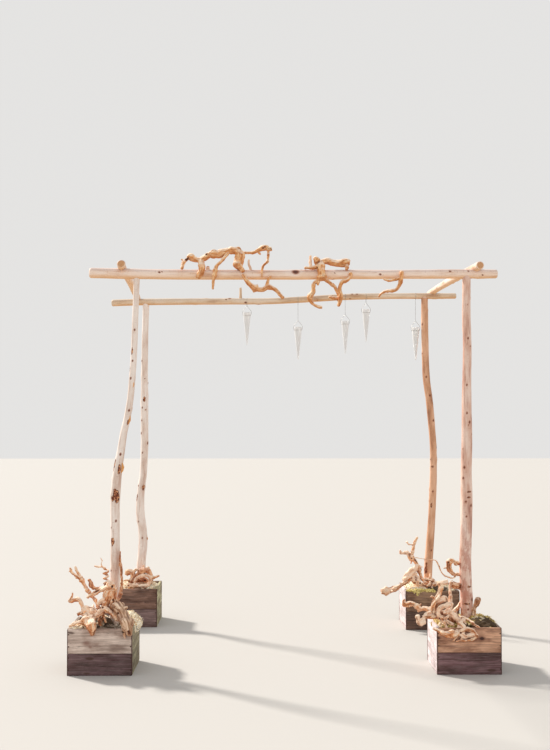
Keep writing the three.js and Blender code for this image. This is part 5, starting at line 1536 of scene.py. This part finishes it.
def make_screws(corner, material):
    """Two screws at each end of each front and back board."""
    x, y = CORNERS[corner]
    half = BOX_WIDTH / 2
    pile = Pile()
    for facing in (-1, 1):
        for side in (-1, 1):
            for z in SCREW_LEVELS:
                pile.add(*screw((x + side * (half - SCREW_INSET), y + facing * half, z), facing))
    name = f"screws_{corner}"
    add_piece(name, pile.mesh(name), material, "steel_wire")


# Dry moss over the packing: centre from the planter's centre, height, half sizes, in millimetres.

MOSS = {
    "front_left": [
        (135, 95, 272, 96, 92, 66), (170, -10, 272, 66, 88, 50), (-95, -85, 266, 105, 98, 40),
        (55, -105, 262, 110, 82, 30), (-50, 80, 266, 130, 108, 42), (-150, -150, 282, 46, 44, 26),
        (12, -50, 262, 58, 46, 76),
    ],
    "front_right": [
        (95, -40, 266, 112, 130, 72), (-80, -90, 266, 112, 96, 44), (-10, 85, 266, 150, 104, 46),
        (130, -130, 266, 70, 56, 42), (-140, 40, 266, 60, 120, 38),
    ],
    "back_left": [(140, -50, 268, 52, 124, 52), (-86, 10, 266, 100, 124, 44), (30, 105, 262, 150, 82, 36)],
    "back_right": [
        (-105, -115, 268, 94, 82, 44), (60, -105, 266, 124, 88, 50), (70, 70, 266, 116, 116, 48),
        (-80, 70, 266, 104, 112, 40), (-120, -193, 292, 88, 20, 15), (-30, -194, 289, 52, 18, 12),
    ],
}
# Dark patches between the moss, partly bare soil and partly painted shade: centre from the planter's centre
# and radius, in millimetres.
SOIL_AND_SHADE = {
    "front_left": [(30, -140, 70), (90, -120, 60), (20, -10, 120)],
    "front_right": [(70, -150, 80), (150, -120, 60), (-10, -150, 50)],
    "back_left": [(60, -150, 60), (30, 130, 80), (20, -40, 50)],
    "back_right": [(60, -150, 60), (-10, -120, 40)],
}
STRANDS = 900
STRAND_STEPS = 6
STRAND_SIDES = 3
LUMPS = 480
LUMP_WIDTH = 0.014
# Relief of the moss, in metres: its clumps, and how far a lump's top and its seam rise and sink.
CLUMP_RELIEF = 0.014
LUMP_RISE = 0.010
SEAM_SINK = 0.006
FILL_GAP = 0.001
# The yellow lip of moss along one front wall, in metres: how wide it is and how softly it ends.
LIP_WIDTH = 0.024
LIP_FADE = 0.010
MOSS_SEED = 30
# Levels, in metres: where flat faces are merged, where moss starts, and where loose strands start.
HIDDEN_LEVEL = 0.215
MOSS_LEVEL = 0.235
STRAND_LEVEL = 0.262
LOWEST_FILL = 0.0125


def merged_below(mesh, level):
    """Merges the flat faces under a level, which nobody sees, into large ones."""
    bm = bmesh.new()
    bm.from_mesh(mesh)
    hidden = {face for face in bm.faces if all(vertex.co.z < level for vertex in face.verts)}
    edges = [edge for edge in bm.edges if all(face in hidden for face in edge.link_faces)]
    verts = [vertex for vertex in bm.verts if all(face in hidden for face in vertex.link_faces)]
    bmesh.ops.dissolve_limit(bm, angle_limit=0.3, verts=verts, edges=edges)
    bm.to_mesh(mesh)
    bm.free()
    return mesh


def packing_body(corner):
    """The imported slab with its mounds, remeshed into one skin."""
    x, y = CORNERS[corner]
    width = BOX_WIDTH - 2 * (BOARD_THICK + FILL_GAP)
    bm = bmesh.new()
    bmesh.ops.create_cube(bm, size=1.0)
    for vertex in bm.verts:
        height = FILL_LOW + (vertex.co[2] + 0.5) * (FILL_TOP - FILL_LOW)
        vertex.co = Vector((x + vertex.co[0] * width, y + vertex.co[1] * width, height))
    for dx, dy, z, *halves in MOSS[corner]:
        made = bmesh.ops.create_icosphere(bm, subdivisions=4, radius=1.0)
        centre = Vector((x + dx / 1000, y + dy / 1000, z / 1000))
        for vertex in made["verts"]:
            vertex.co = centre + Vector([part * half / 1000 for part, half in zip(vertex.co, halves)])
    pile = Pile()
    pile.add(*unpacked(bm))
    return merged_below(pile.voxel_mesh(MOSS_VOXEL), HIDDEN_LEVEL)


def moss_strand(place, normal, rng):
    """One thin curled strand: three rows of vertices round a wandering line."""
    heading = normal * 0.5 + rng.normal(0, 0.8, 3)
    heading[2] = abs(heading[2]) * 0.6
    curl = rng.normal(0, 1, 3)
    thick = rng.uniform(0.0008, 0.0018)
    length = rng.uniform(0.010, 0.026) / STRAND_STEPS
    line = []
    for _ in range(STRAND_STEPS):
        line.append(place.copy())
        heading = heading / np.linalg.norm(heading)
        place = place + heading * length
        heading = heading + np.cross(curl, heading) * 0.38 + (0, 0, -0.10)
    line = np.array(line)
    ahead = np.gradient(line, axis=0)
    across = unit(np.cross(ahead, curl))
    upward = unit(np.cross(ahead, across))
    taper = thick * np.linspace(1.0, 0.5, STRAND_STEPS)[:, None]
    angles = [2 * math.pi * k / STRAND_SIDES for k in range(STRAND_SIDES)]
    points = np.vstack([line + (across * math.cos(a) + upward * math.sin(a)) * taper for a in angles])
    starts = [k * STRAND_STEPS for k in range(STRAND_SIDES)]
    faces = [starts, [start + STRAND_STEPS - 1 for start in starts[::-1]]]
    for a, b in zip(starts, starts[1:] + starts[:1]):
        faces += [[a + i, a + i + 1, b + i + 1, b + i] for i in range(STRAND_STEPS - 1)]
    return points, faces


def lump_pattern(points, seed):
    """Small round lumps in the skin: how far each point is from a seam, and its lump's own shade."""
    rng = np.random.default_rng(seed)
    tops = points[:, 2] > FILL_LOW + 0.2
    spare = points[tops]
    centres = spare[rng.choice(len(spare), min(len(spare), LUMPS), replace=False)]
    tree = kdtree.KDTree(len(centres))
    for number, centre in enumerate(centres):
        tree.insert(centre, number)
    tree.balance()
    shades = rng.uniform(0, 1, len(centres))
    gap = np.zeros(len(points))
    shade = np.full(len(points), 0.5)
    for i in np.nonzero(tops)[0]:
        (_, first, near), (_, _, far) = tree.find_n(points[i], 2)
        gap[i] = far - near
        shade[i] = shades[first]
    return gap, shade


def soil_and_seam_shade(corner, points, clumps, gap, seed):
    """How deep and dark each place lies: painted shade between clumps and between lumps, and dark soil,
    partly painted shade, in patches.
    """
    x, y = CORNERS[corner]
    # Painted shade in the hollows between clumps and in the seams between lumps; dark soil, partly painted
    # shade, in patches.
    depth = np.clip(-(clumps + 0.002) / 0.004, 0, 0.6)
    depth = np.maximum(depth, np.clip(0.48 - gap / 0.0040, 0, 1))
    ragged = fractal(points * 40 + seed * 2, 2) * 0.4
    for dx, dy, radius in SOIL_AND_SHADE[corner]:
        away = np.hypot(points[:, 0] - x - dx / 1000, points[:, 1] - y - dy / 1000) / (radius / 1000)
        depth = np.maximum(depth, np.clip(2.2 - 2.0 * (away + ragged), 0, 1))
    return depth


def make_fill(corner, material, seed):
    """The packing with its moss: lumps in the skin and loose strands on top."""
    mesh = packing_body(corner)
    points, normals = vertex_rows(mesh, "co"), vertex_rows(mesh, "normal")
    clumps = (np.abs(fractal(points * 30 + seed, 2)) - 0.35) * CLUMP_RELIEF
    gap, lump = lump_pattern(points, seed)
    depth = soil_and_seam_shade(corner, points, clumps, gap, seed)
    tufts = np.sqrt(np.minimum(gap, LUMP_WIDTH) / LUMP_WIDTH) * LUMP_RISE - SEAM_SINK
    shown = np.clip((points[:, 2] - MOSS_LEVEL) / 0.03, 0, 1)
    points = points + normals * ((clumps + tufts) * shown * (1 - 0.6 * depth))[:, None]
    points[:, 2] = np.maximum(points[:, 2], LOWEST_FILL)
    lip = np.zeros(len(points))
    if corner == "back_right":
        front = CORNERS[corner][1] - BOX_WIDTH / 2
        lip = np.clip((front + LIP_WIDTH - points[:, 1]) / LIP_FADE, 0, 1)
    pile = Pile(depth=0.0, lump=0.7, lip=0.0)
    pile.add(points, face_lists(mesh), depth=depth, lump=lump, lip=lip)
    bpy.data.meshes.remove(mesh)
    rng = np.random.default_rng(seed + 5)
    spots = np.flatnonzero((normals[:, 2] > 0.0) & (points[:, 2] > STRAND_LEVEL) & (depth < 0.5))
    for pick in rng.choice(spots, STRANDS):
        strand, faces = moss_strand(points[pick] - normals[pick] * 0.002, normals[pick], rng)
        if strand[:, 1].max() < start_high[1]:
            pile.add(strand, faces, depth=-0.2, lump=rng.uniform(0.3, 1.0), lip=lip[pick])
    name = f"moss_{corner}"
    add_piece(name, pile.mesh(name), material, "dry_packing", f"fill_{corner}")


# Glass cones and their wire hangers.

CONES = [
    # picture column and row of the rim's centre, the row of the beam above it, the depth in
    # millimetres, and the beam's radius in metres
    (247, 312.5, 301.3, 709, 0.0247),
    (298, 327, 299.8, 687, 0.0243),
    (345.2, 321, 297, 666, 0.024),
    (366, 309.5, 296.4, 657, 0.0236),
    (415.5, 327.5, 296, 636, 0.023),
]
CONE_SIDES = 48
# The straight part of the cone, in metres: its radius and height above the tip, and how much it widens.
CONE_FOOT = 0.0050
CONE_FOOT_HEIGHT = 0.014
CONE_WIDENS = 0.0270
CONE_INSIDE = 0.234
SHORT_DROP = 6
WIRE_SIDES = 8
WIRE_STEP = 0.004
LOOP_STOPS = 25


def cone_profile():
    """The glass up the outside, over the rim and down the inside: radius, and height from the rim."""
    foot = CONE_FOOT_HEIGHT - CONE_LENGTH
    rise = CONE_LENGTH - CONE_FOOT_HEIGHT - 0.002
    profile = [(0.0012, -CONE_LENGTH), (0.0034, 0.003 - CONE_LENGTH), (CONE_FOOT, foot)]
    profile += [(CONE_FOOT + CONE_WIDENS * t, foot + rise * t) for t in (0.25, 0.5, 0.75, 0.97)]
    lip = CONE_RIM - 0.0002
    profile += [(lip, -0.001), (CONE_RIM - GLASS / 2, 0.0), (CONE_RIM - GLASS + 0.0002, -0.001)]
    for t in (0.96, 0.75, 0.5, 0.25, 0.05):
        profile.append((CONE_FOOT - GLASS + CONE_WIDENS * t, CONE_INSIDE * (t - 1)))
    return profile + [(0.0016, 0.021 - CONE_LENGTH)]


def make_cone(number, rim, material):
    points, faces = lathe(cone_profile(), CONE_SIDES)
    pile = Pile()
    pile.add(points + rim, faces)
    name = f"clear_cone_{number}"
    add_piece(name, pile.mesh(name), material, "clear_glass", f"glass_cone_{number}")


def hanger_routes(rim, beam_z, beam_radius):
    """The lines of one hanger, each with its radius: loop, ring, twisted drop and bail."""
    x, y, rim_z = rim
    loop = beam_radius + 0.0025
    loop_z = beam_z + beam_radius - loop + 0.0008
    apex_z = min(loop_z - loop - 0.003, rim_z + 0.052)
    seat = CONE_RIM - SEAT_DROP * (CONE_RIM - CONE_FOOT) / (CONE_LENGTH - 0.012) + WIRE + 0.0002
    whole, strand = WIRE * 0.95, WIRE * 0.62
    around = np.linspace(0, 2 * math.pi, LOOP_STOPS)
    yield [(x, y + loop * math.sin(a), loop_z - loop * math.cos(a)) for a in around], whole
    yield [(x + seat * math.cos(a), y + seat * math.sin(a), rim_z - SEAT_DROP) for a in around], whole
    stops = max(SHORT_DROP, int((loop_z - loop - apex_z) / 0.006))
    drop = np.linspace(loop_z - loop, apex_z, stops)
    twist = WIRE * 0.8
    for phase in (0, math.pi):
        turns = drop * 420 + phase
        line = np.stack((x + twist * np.cos(turns), y + twist * np.sin(turns), drop), axis=1)
        yield line, whole if stops == SHORT_DROP else strand
    for side in (-1, 1):
        foot = (x + side * seat, y, rim_z - SEAT_DROP)
        shoulder = (x + side * (CONE_RIM + 0.003), y, rim_z + 0.003)
        bend = (x + side * 0.016, y, (shoulder[2] + apex_z) / 2 + 0.004)
        yield [foot, shoulder, bend, (x, y, apex_z)], whole


def make_hanger(number, rim, beam_z, beam_radius, material):
    pile = Pile()
    for stops, radius in hanger_routes(rim, beam_z, beam_radius):
        points, faces, _, _ = skin(Limb(stops, [radius] * len(stops), WIRE_STEP), WIRE_SIDES, 0.3)
        pile.add(points, faces)
    name = f"wire_{number}"
    add_piece(name, pile.mesh(name), material, "steel_wire", f"hanger_{number}")


# Assembly.

make_camera()
make_light()
make_floor()

cream_bark = pole_bark("cream_bark", "F4E7DE", "E7D4C7", "C9A895", 0.12)
pink_bark = pole_bark("pink_bark", "EDD2C3", "DAB09B", "AE7865", 0.55)
tan_bark = pole_bark("tan_bark", "E3B493", "CE9873", "A36D4E")
peeled_wood = pole_bark("peeled_wood", "F8E2D2", "EFCFB6", "C9997A", under_shade="E3AE76", top="CDB9B6")
aged_wood = pole_bark("aged_wood", "E8D3BC", "DDBF9E", "B98D69", under_shade="D9A066", top="C9B9A9")
vine_wood = dead_wood("vine_wood", "B4602A", "F8AE74", "FFE0BE")
golden_vine = dead_wood("golden_vine", "C27434", "F0AC6C", "FBD3A2")
weathered_board = board_wood("weathered_board")
floor_board = board_wood("floor_board", carried=False)
cream_moss = moss("cream_moss", 0.0)
olive_moss = moss("olive_moss", 1.0)
golden_moss = moss("golden_moss", 0.35)
glass = clear_glass("clear_glass")
thin_wire = steel_wire("thin_wire", "77746E", "B9B6AE")
dull_screw = steel_wire("dull_screw", "3E302A", "6A564A")
BARKS = dict(zip(CORNERS, (cream_bark, pink_bark, cream_bark, tan_bark)))
MOSSES = dict(zip(CORNERS, (cream_moss, olive_moss, cream_moss, golden_moss)))
BEAM_WOODS = {node: aged_wood if node == "back_beam" else peeled_wood for node in (*BEAMS, *SIDE_BEAMS)}

make_poles(BARKS)
make_beams(BEAM_WOODS)
for order, (node, routes) in enumerate(BEAM_BRANCHES.items()):
    seed = BEAM_BRANCH_SEED + order
    make_branch(f"vine_{node}", node, routes, FRONT_Y, seed, golden_vine, BEAM_WEAR, COARSE_VOXEL)
for order, (corner, routes) in enumerate(PLANTER_BRANCHES.items()):
    voxel = FINE_VOXEL if corner.startswith("front") else COARSE_VOXEL
    name, node = f"vine_{corner}", f"branch_{corner}"
    seed = PLANTER_BRANCH_SEED + order
    make_branch(name, node, routes, DEPTHS[corner], seed, vine_wood, PLANTER_WEAR, voxel)
for order, corner in enumerate(CORNERS):
    for side in wall_spans(corner):
        make_wall(corner, side, weathered_board)
    make_screws(corner, dull_screw)
    make_fill(corner, MOSSES[corner], MOSS_SEED + order)
    floor_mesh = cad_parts[f"planter_{corner}_floor"].data
    floor_mesh.materials.clear()
    floor_mesh.materials.append(floor_board)
for number, (u, v, beam_v, y, beam_radius) in enumerate(CONES, 1):
    rim = seen(u, v, y)
    make_cone(number, rim, glass)
    make_hanger(number, rim, seen(u, beam_v, y)[2], beam_radius, thin_wire)
